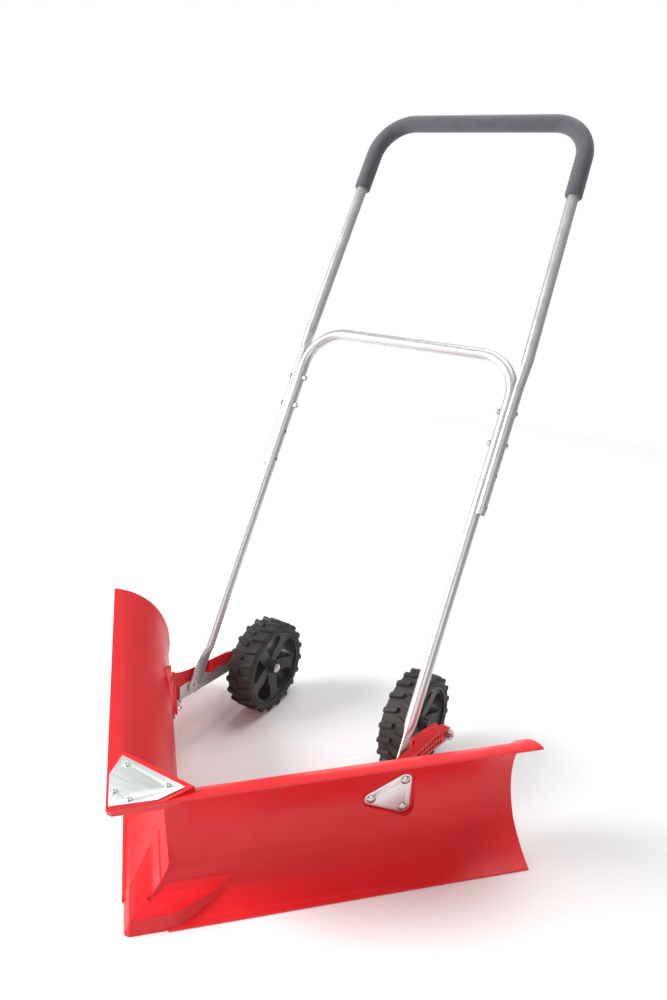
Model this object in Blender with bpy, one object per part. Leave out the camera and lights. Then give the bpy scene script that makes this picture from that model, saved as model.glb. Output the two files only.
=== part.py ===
"""Wheeled snow shovel: a V-shaped pusher blade on two lugged wheels, with a folding U handle.

Units are metres, +Z is up, the blade's point faces -Y and the handle leans back over +Y.
Lengths along Y are first given as the distance behind the point of the blade's lip, and
world() moves them so that the origin is at the middle of the object's footprint.
"""
import math

import bmesh
import bpy
from mathutils import Matrix, Vector

GAP = 0.0003                 # clearance between touching pieces
SIDES = ((1, "right"), (-1, "left"))

# Fasteners. Bolts: shank radius, head radius, head height, length beyond what they clamp.
# Nuts: thread radius, width across flats, height. Screws: shank radius, length, head radius.
FOOT_BOLT, FOOT_NUT = (0.003, 0.0085, 0.0042, 0.009), (0.003, 0.010, 0.005)
PIVOT_BOLT, PIVOT_NUT = (0.004, 0.0078, 0.0048, 0.0095), (0.004, 0.013, 0.0065)
AXLE_BOLT, AXLE_NUT = (0.005, 0.0100, 0.0055, 0.011), (0.005, 0.017, 0.008)
HANDLE_BOLT, HANDLE_NUT = (0.003, 0.0068, 0.0038, 0.008), (0.003, 0.010, 0.005)
CORNER_SCREW, NOSE_SCREW = (0.002, 0.0135, 0.0042), (0.0015, 0.0088, 0.0032)
AXLE_WASHER = (0.0105, 0.0016)                           # radius, thickness
SPACER_RADIUS = 0.008

# Blade: each wing is straight along s, at 45 degrees to the travel. Its front is an upper and a
# flatter lower arc that meet in a crease; depths u are behind the lip.
WING_LENGTH = 0.684          # from the lip's point to the wing's end
WING_WALL = 0.004
LIP_Z = 0.256
SCRAPE_HEIGHT = 0.0025       # height of the bottom edge's upright face
ARC_U, ARC_Z = 0.0368, 0.1241                       # centre of the upper arc
LIP_RADIUS = math.hypot(ARC_U, LIP_Z - ARC_Z)
WING_TOP = ARC_Z + math.sqrt((LIP_RADIUS + WING_WALL) ** 2 - ARC_U ** 2) + 0.0005
CREASE_Z = 0.0455
CREASE_U = ARC_U - math.sqrt(LIP_RADIUS ** 2 - (ARC_Z - CREASE_Z) ** 2)
LOW_RADIUS = 0.172
LOW_STEPS, HIGH_STEPS = 5, 14                       # facets of the two arcs
END_RIB = 0.0045             # how far the rib at the wing's end stands out of its back
RIB_START, RIB_FULL = 0.656, 0.668                  # along s

# Corner where the wings meet: flat block on top, upright facets inside, blunt toe below
BLOCK_SKIRT = 0.015
BLOCK_LIP = 0.085            # where the block's front edge ends, along s
BLOCK_BACK = 0.108
BLOCK_HALF = 0.075
FACET_Y = 0.113
FACET_ANGLE = math.radians(22)
PROW_Z = 0.062               # below it the corner's edge leans forward
PROW_DROP, PROW_REACH = 0.036, 0.052
PROW_LOW = 0.0245
TOE_Y = 0.019                # in front of this line, and in the notch, the wings are cut away
NOTCH_U, NOTCH_END, NOTCH_SLANT = -0.008, 0.088, 0.032

# Nose cap: a leaning front band, a nearly flat top that runs out on the wings, slanted sides
BAND_FOOT, BAND_LEAN = 0.003, 0.476
BAND_U, BAND_Z = 0.0124, 0.0216                     # upper edge of the band
CAP_SLOPE = 0.158
CAP_EDGE = 0.0006            # thickness where the cap's top runs out
CAP_BLEND = 0.003
CAP_TOP_U = -0.064
CAP_STEPS = 12
NOSE_Y = 0.0212              # centre of the nose's rounding
CAP_SIDE = (0.084, -0.0013, 0.0027)                 # a point of the cap's side, (s, u, z)
CAP_SIDE_AXIS = (0.324, 0.805, 0.497)               # and the side's direction
NOSE_SCREWS = (0.070, 0.125)
NOSE_SCREW_ANGLE = math.radians(28.8)

# Corner plate and its screws, (x, y)
PLATE_THICKNESS = 0.002
CORNER_PLATE = ((0.0, 0.006), (0.0503, 0.0557), (0.0655, 0.0982))
CORNER_SCREWS = ((0.0154, 0.0322), (0.0427, 0.0851))

# Three-bolt joint between wing and arm, (s, z)
FOOT_BOLTS = ((0.427, 0.1145), (0.487, 0.1455), (0.484, 0.088))
FOOT_POCKET = ((0.426, 0.1165), (0.487, 0.1505), (0.486, 0.091))
POCKET_RADIUS = 0.017        # of the pocket's rounded corners
POCKET_FLOOR = -0.1023
BOSS_WALL = 0.005            # wall around the pocket and under its floor
BOSS_BACK = POCKET_FLOOR - BOSS_WALL
BOSS_FRONT = -0.070
NUT_RECESS = 0.0085
FOOT_THICKNESS = 0.006
FOOT_RADIUS = 0.013
PLATE_RADIUS = 0.012
FOOT_BACK = BOSS_BACK - GAP - FOOT_THICKNESS

# Arms, bars and wheels
BAR_IN, BAR_OUT = 0.2405, 0.2445
ARM_OUT = 0.2565
BAR_HALF = 0.015
BAR_START = (0.404, 0.123)    # on the bar's middle line, (y, z)
BAR_FRONT = 0.409
LIP_IN = BAR_IN - 0.0042      # inner face of the arm's lip, which hangs over the bar
LIP_LAP = 0.004
ARM_END = 0.0145              # radius of the arm's rear end
ARM_BOTTOM = ((0.388, 0.108), (0.450, 0.112), (0.531, 0.109), (0.560, 0.102), (0.590, 0.094))
ARM_TOP = ((0.606, 0.1285, 0.119), (0.575, 0.1405, 0.130), (0.550, 0.147, 0.1335),
           (0.530, 0.151, 0.136), (0.507, 0.156, 0.141), (0.475, 0.161, 0.145),
           (0.450, 0.166, 0.151), (0.420, 0.175, 0.160), (0.388, 0.190, 0.175))  # y, z in, z out
LIP_NOSE = ((0.495, 0.130), (0.508, 0.1225), (0.530, 0.1265))    # its front end, (y, z)
RIB = 0.003                   # between the pockets of the arm's outer face
ARM_POCKETS = 10
POCKET_WIDTH = 0.0085
POCKET_LEAN = 0.004
POCKET_START = 0.484
POCKET_DEPTH = 0.007
AXLE_Y, AXLE_Z = 0.621, 0.100
WHEEL_X = 0.1836
WHEEL_RADIUS = AXLE_Z
WHEEL_HALF = 0.030
TREAD_HEIGHT = 0.006
RIM_RADIUS = 0.0795
RIM_WALL = 0.003
RIM_WEB = 0.0245              # half the spokes' width at the rim
HUB_WEB = 0.0150              # and where they meet the hub
HUB_RADIUS = 0.014
HUB_HALF = 0.0305
LUGS = 20
SPOKES = 5
WHEEL_STEPS = 20

# Handle: a plane that leans back from the pivot; a is across, b is up along it
PIVOT_Y, PIVOT_Z = 0.4546, 0.1248
LEAN = math.radians(34.05)
TUBE_RADIUS = 0.011
TUBE_WALL = 0.001
BEND = 0.080
LOWER_A = 0.2357
LOWER_BAR = 0.7895
TAB_A = 0.2377
TAB_HALF = 0.017
TAB_THICKNESS = 0.005
TAB_END = -0.020
UPPER_BAR = 1.291
UPPER_TOP_A = 0.2343
UPPER_LOW_A, UPPER_LOW_B = 0.2475, 0.785
CRIMP_A, CRIMP_B = 0.2445, 0.735
UPPER_END = 0.4815
HANDLE_BOLTS = (0.6805, 0.6175)
SPARE_HOLES = (0.5575, 0.4955)
GRIP_RADIUS = 0.0172
GRIP_END = 1.129

UP = Vector((0, math.sin(LEAN), math.cos(LEAN)))         # b direction
FRONT = Vector((0, -math.cos(LEAN), math.sin(LEAN)))     # square to the handle's plane
DEPTH = PIVOT_Y + UPPER_BAR * UP.y + GRIP_RADIUS         # overall length along Y
OUT = Vector((1.0, 0.0))      # out of a leg of the handle, (a, b)
RING = 12                     # points around a tube


# ---------------------------------------------------------------- coordinates

def world(x, y, z):
    """A point given by its distance y behind the blade's point, in world coordinates."""
    return Vector((x, y - DEPTH / 2, z))


def wing_point(side):
    """A function that turns wing coordinates (s along, u forward, z up) into the world."""
    root = math.sqrt(0.5)
    return lambda s, u, z: world(side * root * (s + u), root * (s - u), z)


def handle_point(a, b, c=0.0):
    """A point of the handle: a across, b up along its plane, c in front of it."""
    return world(a, PIVOT_Y, PIVOT_Z) + b * UP + c * FRONT


def side_point(side):
    """A function that places (y, z) outlines at a distance x from the middle plane."""
    return lambda y, z, x: world(side * x, y, z)


def side_plan(side):
    """A function that places (x, y) outlines at a height z, mirrored on the left."""
    return lambda x, y, z: world(side * x, y, z)


def wheel_point(side):
    """A function that places (x, y) outlines across the wheel, at h along its axle."""
    centre = wheel_centre(side)
    turn = axle_turn((side, 0, 0))
    return lambda x, y, h: centre + turn @ Vector((x, y, h))


def axle_turn(axis):
    """Rotation that takes +Z to the given axis."""
    return Vector(axis).to_track_quat("Z", "Y").to_matrix()


def along(origin, axis):
    """Places (x, y) outlines across an axis, at h along it."""
    turn = axle_turn(axis)
    return lambda x, y, h: Vector(origin) + turn @ Vector((x, y, h))


def circle(centre, radius, start=0.0, end=360.0, steps=24):
    """Points on an arc, without the last one when the arc is a full turn."""
    count = steps if abs(end - start) >= 360 else steps + 1
    angles = [math.radians(start + (end - start) * i / steps) for i in range(count)]
    return [(centre[0] + radius * math.cos(t), centre[1] + radius * math.sin(t)) for t in angles]


def rounded_hull(centres, radius, steps=4):
    """Outline of a rubber band around equal circles that are listed anticlockwise."""
    points = []
    count = len(centres)
    for i, centre in enumerate(centres):
        before = Vector(centre) - Vector(centres[i - 1])
        after = Vector(centres[(i + 1) % count]) - Vector(centre)
        start = math.degrees(math.atan2(before.y, before.x)) - 90
        turn = math.degrees(after.angle_signed(before)) % 360
        points += circle(centre, radius, start, start + turn, steps)
    return points


# ---------------------------------------------------------------- mesh tools

def material(name, colour, roughness, metallic=0.0):
    """A Principled material, made once for each name."""
    if name in bpy.data.materials:
        return bpy.data.materials[name]
    made = bpy.data.materials.new(name)
    made.use_nodes = True
    shader = made.node_tree.nodes["Principled BSDF"]
    shader.inputs["Base Color"].default_value = (*colour, 1)
    shader.inputs["Roughness"].default_value = roughness
    shader.inputs["Metallic"].default_value = metallic
    made.diffuse_color = (*colour, 1)
    return made


def red_plastic():
    return material("red_plastic", (0.72, 0.016, 0.020), 0.38)


def silver_paint():
    return material("silver_paint", (0.60, 0.62, 0.63), 0.35, 0.8)


def zinc():
    return material("zinc", (0.66, 0.67, 0.66), 0.32, 1.0)


def black_plastic():
    return material("black_plastic", (0.030, 0.030, 0.031), 0.45)


def black_rubber():
    return material("black_rubber", (0.026, 0.026, 0.026), 0.70)


def grey_foam():
    return material("grey_foam", (0.080, 0.080, 0.090), 0.85)


def make(name, verts, faces, finish=None):
    """An object from points and faces, facing out, smooth except across sharp edges."""
    mesh = bpy.data.meshes.new(name)
    mesh.from_pydata([tuple(v) for v in verts], [], faces)
    build = bmesh.new()
    build.from_mesh(mesh)
    bmesh.ops.recalc_face_normals(build, faces=build.faces)
    build.to_mesh(mesh)
    build.free()
    if finish:
        mesh.materials.append(finish)
    mesh.shade_smooth()
    mesh.set_sharp_from_angle(angle=math.radians(32))
    made = bpy.data.objects.new(name, mesh)
    bpy.context.scene.collection.objects.link(made)
    return made


def prism(name, outline, low, high, place, finish=None):
    """A flat outline, extruded from low to high."""
    count = len(outline)
    verts = [place(*p, low) for p in outline] + [place(*p, high) for p in outline]
    faces = [tuple(range(count)), tuple(range(count, 2 * count))]
    faces += [(i, (i + 1) % count, count + (i + 1) % count, count + i) for i in range(count)]
    return make(name, verts, faces, finish)


def skin(name, rings, finish=None):
    """Equal rings joined in order, with a flat cap on the first and the last."""
    count = len(rings[0])
    verts = [v for ring in rings for v in ring]
    faces = [tuple(range(count)), tuple(range(len(verts) - count, len(verts)))]
    for k in range(len(rings) - 1):
        for i in range(count):
            j = (i + 1) % count
            faces.append((k * count + i, k * count + j, (k + 1) * count + j, (k + 1) * count + i))
    return make(name, verts, faces, finish)


def tube(name, outer, inner, finish):
    """A hollow tube with open ends, from its outer and inner rings along the path."""
    count = len(outer[0])
    rings = outer + inner[::-1]
    verts = [v for ring in rings for v in ring]
    total = len(rings)
    faces = []
    for k in range(total):
        n = (k + 1) % total
        for i in range(count):
            j = (i + 1) % count
            faces.append((k * count + i, k * count + j, n * count + j, n * count + i))
    return make(name, verts, faces, finish)


def turned(name, profile, origin, axis, finish=None, steps=10):
    """A turned solid: (radius, height) points that start and end on the axis."""
    turn = axle_turn(axis)
    origin = Vector(origin)
    verts = [origin + turn @ Vector((0, 0, profile[0][1]))]
    for radius, height in profile[1:-1]:
        for x, y in circle((0, 0), radius, steps=steps):
            verts.append(origin + turn @ Vector((x, y, height)))
    verts.append(origin + turn @ Vector((0, 0, profile[-1][1])))
    last = len(verts) - 1
    faces = []
    for i in range(steps):
        j = (i + 1) % steps
        faces.append((0, 1 + i, 1 + j))
        faces.append((last, last - steps + i, last - steps + j))
        for k in range(len(profile) - 3):
            low, high = 1 + k * steps, 1 + (k + 1) * steps
            faces.append((low + i, low + j, high + j, high + i))
    return make(name, verts, faces, finish)


def ring_solid(name, profile, origin, axis, finish=None, steps=16):
    """A turned ring: a closed loop of (radius, height) points that stays off the axis."""
    turn = axle_turn(axis)
    origin = Vector(origin)
    loops = []
    for cosine, sine in circle((0, 0), 1.0, steps=steps):
        loops.append([origin + turn @ Vector((r * cosine, r * sine, h)) for r, h in profile])
    count = len(profile)
    verts = [v for loop in loops for v in loop]
    faces = []
    for k in range(steps):
        n = (k + 1) % steps
        for i in range(count):
            j = (i + 1) % count
            faces.append((k * count + i, k * count + j, n * count + j, n * count + i))
    return make(name, verts, faces, finish)


def boolean(target, other, operation="DIFFERENCE"):
    """Cut, join or intersect, apply the result, and remove the other object."""
    step = target.modifiers.new(operation, "BOOLEAN")
    step.operation = operation
    step.solver = "EXACT"
    step.object = other
    graph = bpy.context.evaluated_depsgraph_get()
    result = bpy.data.meshes.new_from_object(target.evaluated_get(graph))
    if not result.polygons:
        raise RuntimeError(f"{target.name}: nothing is left after {operation} with {other.name}")
    target.modifiers.clear()
    target.data = result
    bpy.data.objects.remove(other)
    result.set_sharp_from_angle(angle=math.radians(32))


def drill(target, centre, axis, radius, length, steps=10):
    """A straight round hole of the given length, centred on a point."""
    half = length / 2
    profile = [(0, -half), (radius, -half), (radius, half), (0, half)]
    boolean(target, turned("drill", profile, centre, axis, steps=steps))


def move_origin(piece, point):
    """Put a moving piece's origin on its joint's axis."""
    piece.data.transform(Matrix.Translation(-point))
    piece.location = point


# ---------------------------------------------------------------- fasteners

def dome_bolt(name, seat, axis, clamped, size):
    """A domed bolt: the head's underside is at seat, and the shank runs along -axis."""
    radius, head_radius, head_height, beyond = size
    grip = clamped + beyond
    profile = [(0, -grip), (radius * 0.8, -grip), (radius, -grip + radius * 0.3), (radius, 0),
               (head_radius, 0), (head_radius, head_height * 0.25),
               (head_radius * 0.62, head_height * 0.85), (0, head_height)]
    return turned(name, profile, seat, axis, zinc())


def hex_nut(name, seat, axis, size):
    """A hexagon nut that starts at seat and runs along axis."""
    bore, across, height = size
    corner = across / math.sqrt(3)
    turn = axle_turn(axis)
    outline = circle((0, 0), corner, steps=6)

    def place(x, y, h):
        return Vector(seat) + turn @ Vector((x, y, h))

    nut = prism(name, outline, 0, height, place, zinc())
    drill(nut, place(0, 0, height / 2), axis, bore + GAP, height * 2)
    return nut


def pan_screw(name, seat, axis, size):
    """A pan-head screw; the head sits on seat and the shank goes in."""
    radius, length, head_radius = size
    profile = [(0, -length), (radius, -length + radius), (radius, 0),
               (head_radius, 0), (head_radius, 0.0012), (head_radius * 0.75, 0.0024),
               (0, 0.0027)]
    return turned(name, profile, seat, axis, zinc(), steps=8)


# ---------------------------------------------------------------- blade

def lower_centre():
    """Centre (u, z) of the lower arc, which joins the bottom edge to the crease."""
    chord = Vector((CREASE_U, CREASE_Z - SCRAPE_HEIGHT))
    square = Vector((chord.y, -chord.x)).normalized()
    rise = math.sqrt(LOW_RADIUS ** 2 - chord.length_squared / 4)
    return chord.x / 2 + square.x * rise, SCRAPE_HEIGHT + chord.y / 2 + square.y * rise


LOW_U, LOW_Z = lower_centre()


def low_height(u, inset):
    """Height of the lower arc at a depth u; inset sinks it into the wall."""
    return LOW_Z - math.sqrt((LOW_RADIUS + inset) ** 2 - (LOW_U - u) ** 2)


def wall_depth(z, inset):
    """Depth u of the wing's front at a height z; inset sinks it into the wall."""
    if z > CREASE_Z:
        return ARC_U - math.sqrt((LIP_RADIUS + inset) ** 2 - (z - ARC_Z) ** 2)
    return LOW_U - math.sqrt((LOW_RADIUS + inset) ** 2 - (LOW_Z - z) ** 2)


def arc_angle(centre, point):
    return math.degrees(math.atan2(point[1] - centre[1], point[0] - centre[0])) % 360


def wing_section(rib=0.0):
    """Closed (u, z) outline of the wall: front up from the bottom edge, lip, back, underside."""
    low, high, crease = (LOW_U, LOW_Z), (ARC_U, ARC_Z), (CREASE_U, CREASE_Z)
    foot = arc_angle(low, (0, SCRAPE_HEIGHT))
    rise = circle(low, LOW_RADIUS, foot, arc_angle(low, crease), LOW_STEPS)[:-1]
    rise += circle(high, LIP_RADIUS, arc_angle(high, crease), arc_angle(high, (0, LIP_Z)), HIGH_STEPS)
    start, end = arc_angle(high, (0, WING_TOP)), arc_angle(high, crease)
    fall = []
    for i in range(HIGH_STEPS + 1):
        angle = start + (end - start) * i / HIGH_STEPS
        ramp = min(1.0, 3 * i / HIGH_STEPS)
        fall += circle(high, LIP_RADIUS + WING_WALL + rib * ramp, angle, angle + 1, 1)[:1]
    outer = LOW_RADIUS + WING_WALL + rib
    ground = 180 + math.degrees(math.asin(LOW_Z / outer))
    fall += circle(low, outer, arc_angle(low, crease), ground, LOW_STEPS)
    return rise + fall + [(0.0, 0.0)]


def wing_wall(side):
    """The wall with the rib at its end, left long at the corner; trim_corner() mitres it."""
    place = wing_point(side)
    rings = [[place(-u - 0.010, u, z) for u, z in wing_section()]]
    for s, rib in ((RIB_START, 0.0), (RIB_FULL, END_RIB), (WING_LENGTH, END_RIB)):
        rings.append([place(s, u, z) for u, z in wing_section(rib)])
    return skin(f"{'right' if side > 0 else 'left'}_blade", rings, red_plastic())


def prow_line(z):
    """Distance y of the corner's edge at a height z."""
    drop = max(PROW_Z - z, 0.0) / PROW_DROP
    return FACET_Y - PROW_REACH * drop ** 1.7


def corner_facet(side, gap=0.0):
    """Fill that turns the inner corner into upright facets, one outline at each height."""
    root = math.sqrt(0.5)
    top = ARC_Z + 1.01 * math.sqrt(LIP_RADIUS ** 2 - (ARC_U + FACET_Y * root) ** 2)
    slope = math.tan(FACET_ANGLE)
    steps = 18
    rings = []
    for i in range(steps + 1):
        z = PROW_LOW + (top - PROW_LOW) * (1 - math.cos(math.pi * i / steps)) / 2
        front = prow_line(z) - 2 * gap
        seam = max(-2 * wall_depth(z, WING_WALL / 2) * root, front + 0.001)
        meet = (seam - front) / (1 - slope)
        rings.append([world(-side * 0.004, front, z), world(0, front, z),
                      world(side * meet * slope, front + meet, z), world(-side * 0.004, seam, z)])
    if gap > 0:
        rings.insert(0, [v - Vector((0, 0, gap)) for v in rings[0]])
    return skin("facet", rings)


def corner_block(side):
    """The flat block on top of the corner; its mate is the other wing's half."""
    root = math.sqrt(0.5)
    tip = 0.0004
    lip = (BLOCK_LIP * root, BLOCK_LIP * root + tip)
    outline = [(-0.004, tip), (tip, tip), lip, (BLOCK_HALF, BLOCK_BACK), (-0.004, BLOCK_BACK)]
    return prism("block", outline, WING_TOP - BLOCK_SKIRT, WING_TOP, side_plan(side))


def toe_plan(gap):
    """Plan of the toe and of the notches beside it, where the cap takes the wings' place."""
    root = math.sqrt(0.5)
    y, u = TOE_Y - gap, NOTCH_U + gap
    end = NOTCH_END - 4 * gap
    corners = [(end, u), (end - NOTCH_SLANT, -NOTCH_U)]
    half = [(y + 2 * root * u, y)] + [(root * (s + d), root * (s - d)) for s, d in corners]
    half.append((half[-1][0], -0.020))
    return half + [(-x, y) for x, y in reversed(half)]


def trim_corner(wing, side):
    """Mitre the wing on the middle plane and cut its bottom edge off at the toe."""
    place = side_plan(side)
    beyond = [(-0.1, -0.1), (GAP / 2, -0.1), (GAP / 2, 0.3), (-0.1, 0.3)]
    boolean(wing, prism("beyond", beyond, -0.1, 0.4, place))
    boolean(wing, prism("toe", toe_plan(0.0), -0.1, 0.060, place))


def foot_place(side):
    """Places (s, z) outlines at a depth u on the wing's back."""
    point = wing_point(side)
    return lambda s, z, u: point(s, u, z)


def foot_axis(side):
    """Direction out of the front of the wing."""
    return Vector((side, -1, 0)).normalized()


def pocket_boss(side):
    """Box that stands out of the wing's back around the pocket, and ends inside the wall."""
    outline = rounded_hull(hull_order(FOOT_POCKET), POCKET_RADIUS + BOSS_WALL)
    boss = prism("boss", outline, BOSS_BACK, BOSS_FRONT, foot_place(side))
    place = wing_point(side)
    section = circle((ARC_U, ARC_Z), LIP_RADIUS + WING_WALL / 2, steps=4 * HIGH_STEPS)
    hollow = [[place(s, u, z) for u, z in section] for s in (0.0, WING_LENGTH)]
    boolean(boss, skin("hollow", hollow))
    return boss


def blade(side):
    """One wing with its half of the corner and the seat of the wheel arm."""
    wing = wing_wall(side)
    boolean(wing, corner_facet(side), "UNION")
    boolean(wing, corner_block(side), "UNION")
    trim_corner(wing, side)
    boolean(wing, pocket_boss(side), "UNION")
    place = foot_place(side)
    pocket = rounded_hull(hull_order(FOOT_POCKET), POCKET_RADIUS)
    boolean(wing, prism("pocket", pocket, POCKET_FLOOR, BOSS_FRONT, place))
    for s, z in FOOT_BOLTS:
        drill(wing, place(s, z, BOSS_BACK), foot_axis(side), FOOT_BOLT[0] + GAP, 0.030)
    for x, y in CORNER_SCREWS:
        depth = BLOCK_SKIRT - 0.002
        seat = world(side * x, y, WING_TOP)
        drill(wing, seat, (0, 0, 1), CORNER_SCREW[0] + GAP, 2 * depth, 8)
    for s in NOSE_SCREWS:
        seat = nose_screw_seat(side, s)
        drill(wing, seat, nose_screw_axis(side), NOSE_SCREW[0] + GAP, 0.020, 8)
    return wing


def hull_order(points):
    """The three-bolt pattern, anticlockwise in (s, z)."""
    return (points[0], points[2], points[1])


def nose_screw_axis(side):
    """Out of the back of the wing, square to its wall at the nose screws."""
    point = wing_point(side)
    out = point(0, -math.sin(NOSE_SCREW_ANGLE), -math.cos(NOSE_SCREW_ANGLE)) - point(0, 0, 0)
    return out.normalized()


def nose_screw_seat(side, s):
    reach = LOW_RADIUS + WING_WALL + GAP
    return wing_point(side)(s, LOW_U - reach * math.sin(NOSE_SCREW_ANGLE),
                            LOW_Z - reach * math.cos(NOSE_SCREW_ANGLE))


def cap_section():
    """Closed (u, z) outline of the nose cap: upright front, top that runs out, underside."""
    facet = math.radians(30 / LOW_STEPS)
    sink = LOW_RADIUS * (math.cos(facet / 2) - 1) - GAP
    outline = [(BAND_FOOT, 0.0)]
    for i in range(CAP_STEPS + 1):
        u = BAND_FOOT + (CAP_TOP_U - BAND_FOOT) * i / CAP_STEPS
        edge = low_height(u, sink) + CAP_EDGE
        rise = BAND_Z - CAP_SLOPE * (u + BAND_U) - edge
        outline.append((u, edge + (rise + math.hypot(rise, CAP_BLEND)) / 2))
    for i in range(CAP_STEPS + 1):
        u = CAP_TOP_U + (GAP - CAP_TOP_U) * i / CAP_STEPS
        outline.append((u, low_height(u, sink)))
    return outline + [(GAP, 0.0)]


def prow_form():
    """Leaning front band with a rounded nose, open to the rear: what the cap stays inside."""
    root, reach = math.sqrt(0.5), 0.2
    rings = []
    for z in (-0.001, BAND_Z / 2, 0.0245, 0.050):
        front = -BAND_FOOT - BAND_LEAN * z
        radius = max(NOSE_Y * root + front, 0.0003)
        ring = circle((0.0, (radius - front) / root), radius, 225, 315, 10)
        (left, back), (right, _) = ring[0], ring[-1]
        ring += [(right + reach, back + reach), (left - reach, back + reach)]
        rings.append([world(x, y, z) for x, y in ring])
    return skin("form", rings)


def beyond_cap_side(side):
    """Everything outside the slanted side of the cap."""
    point = wing_point(side)
    axis = point(*CAP_SIDE_AXIS) - point(0, 0, 0)
    place, reach = along(point(*CAP_SIDE), axis), 0.3
    square = [(-reach, -reach), (reach, -reach), (reach, reach), (-reach, reach)]
    return prism("side", square, 0.0, reach, place)


def nose_cap():
    """One piece that wraps the bottom corner of both wings."""
    halves = []
    for side, _ in SIDES:
        place = wing_point(side)
        near = [place(-u, u, z) for u, z in cap_section()]
        far = [place(0.26, u, z) for u, z in cap_section()]
        halves.append(skin("half", [near, far], red_plastic()))
    cap, other = halves
    cap.name = "nose_cap"
    boolean(cap, other, "UNION")
    boolean(cap, prism("toe", toe_plan(GAP), 0.0, BAND_Z / 2, world), "UNION")
    boolean(cap, prow_form(), "INTERSECT")
    for side, _ in SIDES:
        boolean(cap, beyond_cap_side(side))
        boolean(cap, corner_facet(side, GAP))
        for s in NOSE_SCREWS:
            seat = nose_screw_seat(side, s)
            drill(cap, seat, nose_screw_axis(side), NOSE_SCREW[0] + GAP, 0.0186, 8)
    return cap


def nose_screws():
    for side, label in SIDES:
        for number, s in enumerate(NOSE_SCREWS, 1):
            pan_screw(f"nose_screw_{label}_{number}", nose_screw_seat(side, s),
                      nose_screw_axis(side), NOSE_SCREW)


def corner_plate():
    """Metal plate that ties the two halves of the block together."""
    half = list(CORNER_PLATE)
    outline = half + [(-x, y) for x, y in reversed(half[1:])]
    low = WING_TOP + GAP
    plate = prism("corner_plate", outline, low, low + PLATE_THICKNESS, world, zinc())
    for side, _ in SIDES:
        for x, y in CORNER_SCREWS:
            drill(plate, world(side * x, y, low), (0, 0, 1), CORNER_SCREW[0] + GAP, 0.02, 8)
    return plate


def corner_screws():
    seat = WING_TOP + PLATE_THICKNESS + 2 * GAP
    for side, label in SIDES:
        for number, (x, y) in enumerate(CORNER_SCREWS, 1):
            pan_screw(f"corner_screw_{label}_{number}", world(side * x, y, seat), (0, 0, 1),
                      CORNER_SCREW)


def mount_plate(side, label):
    """Triangular washer plate in the wing's pocket."""
    place = foot_place(side)
    low = POCKET_FLOOR + GAP
    outline = rounded_hull(hull_order(FOOT_BOLTS), PLATE_RADIUS)
    plate = prism(f"mount_plate_{label}", outline, low, low + PLATE_THICKNESS, place, zinc())
    for s, z in FOOT_BOLTS:
        drill(plate, place(s, z, low), foot_axis(side), FOOT_BOLT[0] + GAP, 0.02)
    return plate


def foot_fasteners(side, label):
    """Carriage bolts through plate, wing and arm, with a nut behind the arm's foot."""
    place = foot_place(side)
    seat = POCKET_FLOOR + PLATE_THICKNESS + 2 * GAP
    for number, (s, z) in enumerate(FOOT_BOLTS, 1):
        dome_bolt(f"carriage_bolt_{label}_{number}", place(s, z, seat), foot_axis(side),
                  seat - FOOT_BACK, FOOT_BOLT)
        hex_nut(f"carriage_nut_{label}_{number}", place(s, z, FOOT_BACK - GAP), -foot_axis(side),
                FOOT_NUT)


# ---------------------------------------------------------------- arms

def bar_height(y):
    """Height of the bar's middle line."""
    along = (y - BAR_START[0]) / (AXLE_Y - BAR_START[0])
    return BAR_START[1] + along * (AXLE_Z - BAR_START[1])


def arm_bar(side, label):
    """Flat steel bar between the handle's tab and the moulded arm."""
    slope = math.degrees(math.atan2(AXLE_Z - BAR_START[1], AXLE_Y - BAR_START[0]))
    end = circle((AXLE_Y, AXLE_Z), BAR_HALF, slope - 90, slope + 90, 10)
    low, high = BAR_FRONT, BAR_FRONT + 0.004
    outline = [(high, bar_height(high) + BAR_HALF), (low, bar_height(low) - BAR_HALF)] + end
    bar = prism(f"arm_bar_{label}", outline, BAR_IN, BAR_OUT, side_point(side), silver_paint())
    drill_arm_holes(bar, side)
    return bar


def drill_arm_holes(piece, side):
    """Holes for the handle's pivot bolt and the axle bolt."""
    drill(piece, world(side * BAR_OUT, PIVOT_Y, PIVOT_Z), (1, 0, 0), PIVOT_BOLT[0] + GAP, 0.06)
    drill(piece, world(side * BAR_OUT, AXLE_Y, AXLE_Z), (1, 0, 0), AXLE_BOLT[0] + GAP, 0.06)


def arm_web():
    """The arm's upright web, outboard of the bar, before its top is sloped."""
    end = circle((AXLE_Y, AXLE_Z), ARM_END, -120, 60, 10)
    return [*ARM_BOTTOM, *end, *[(y, inner) for y, inner, _ in ARM_TOP]]


def over_bar(points, lap):
    """A strip of the arm between its top edge and a line that follows the bar's top."""
    top = [(y, inner) for y, inner, _ in ARM_TOP if y > LIP_NOSE[0][0]]
    under = [(y, bar_height(y) + BAR_HALF - lap) for y, _ in reversed(top) if y > points[-1][0]]
    return top + list(points) + under


def top_slope(side):
    """Cutter that slopes the arm's top down from its inner edge to its outer face."""
    place = side_point(side)
    reach = ARM_OUT - LIP_IN
    rings = []
    for y, inner, outer in ((0.70, 0.119, 0.111), *ARM_TOP, (0.30, 0.180, 0.166)):
        fall = inner - outer
        rings.append([place(y, inner + fall, LIP_IN - reach), place(y, outer - fall, ARM_OUT + reach),
                      place(y, inner + 0.1, ARM_OUT + reach), place(y, inner + 0.1, LIP_IN - reach)])
    return skin("slope", rings)


def edge_height(points, y):
    """Height at y of a line through (y, z) points in rising order."""
    for (y0, z0), (y1, z1) in zip(points, points[1:]):
        if y0 <= y <= y1:
            return z0 + (z1 - z0) * (y - y0) / (y1 - y0)
    return points[-1][1]


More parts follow.
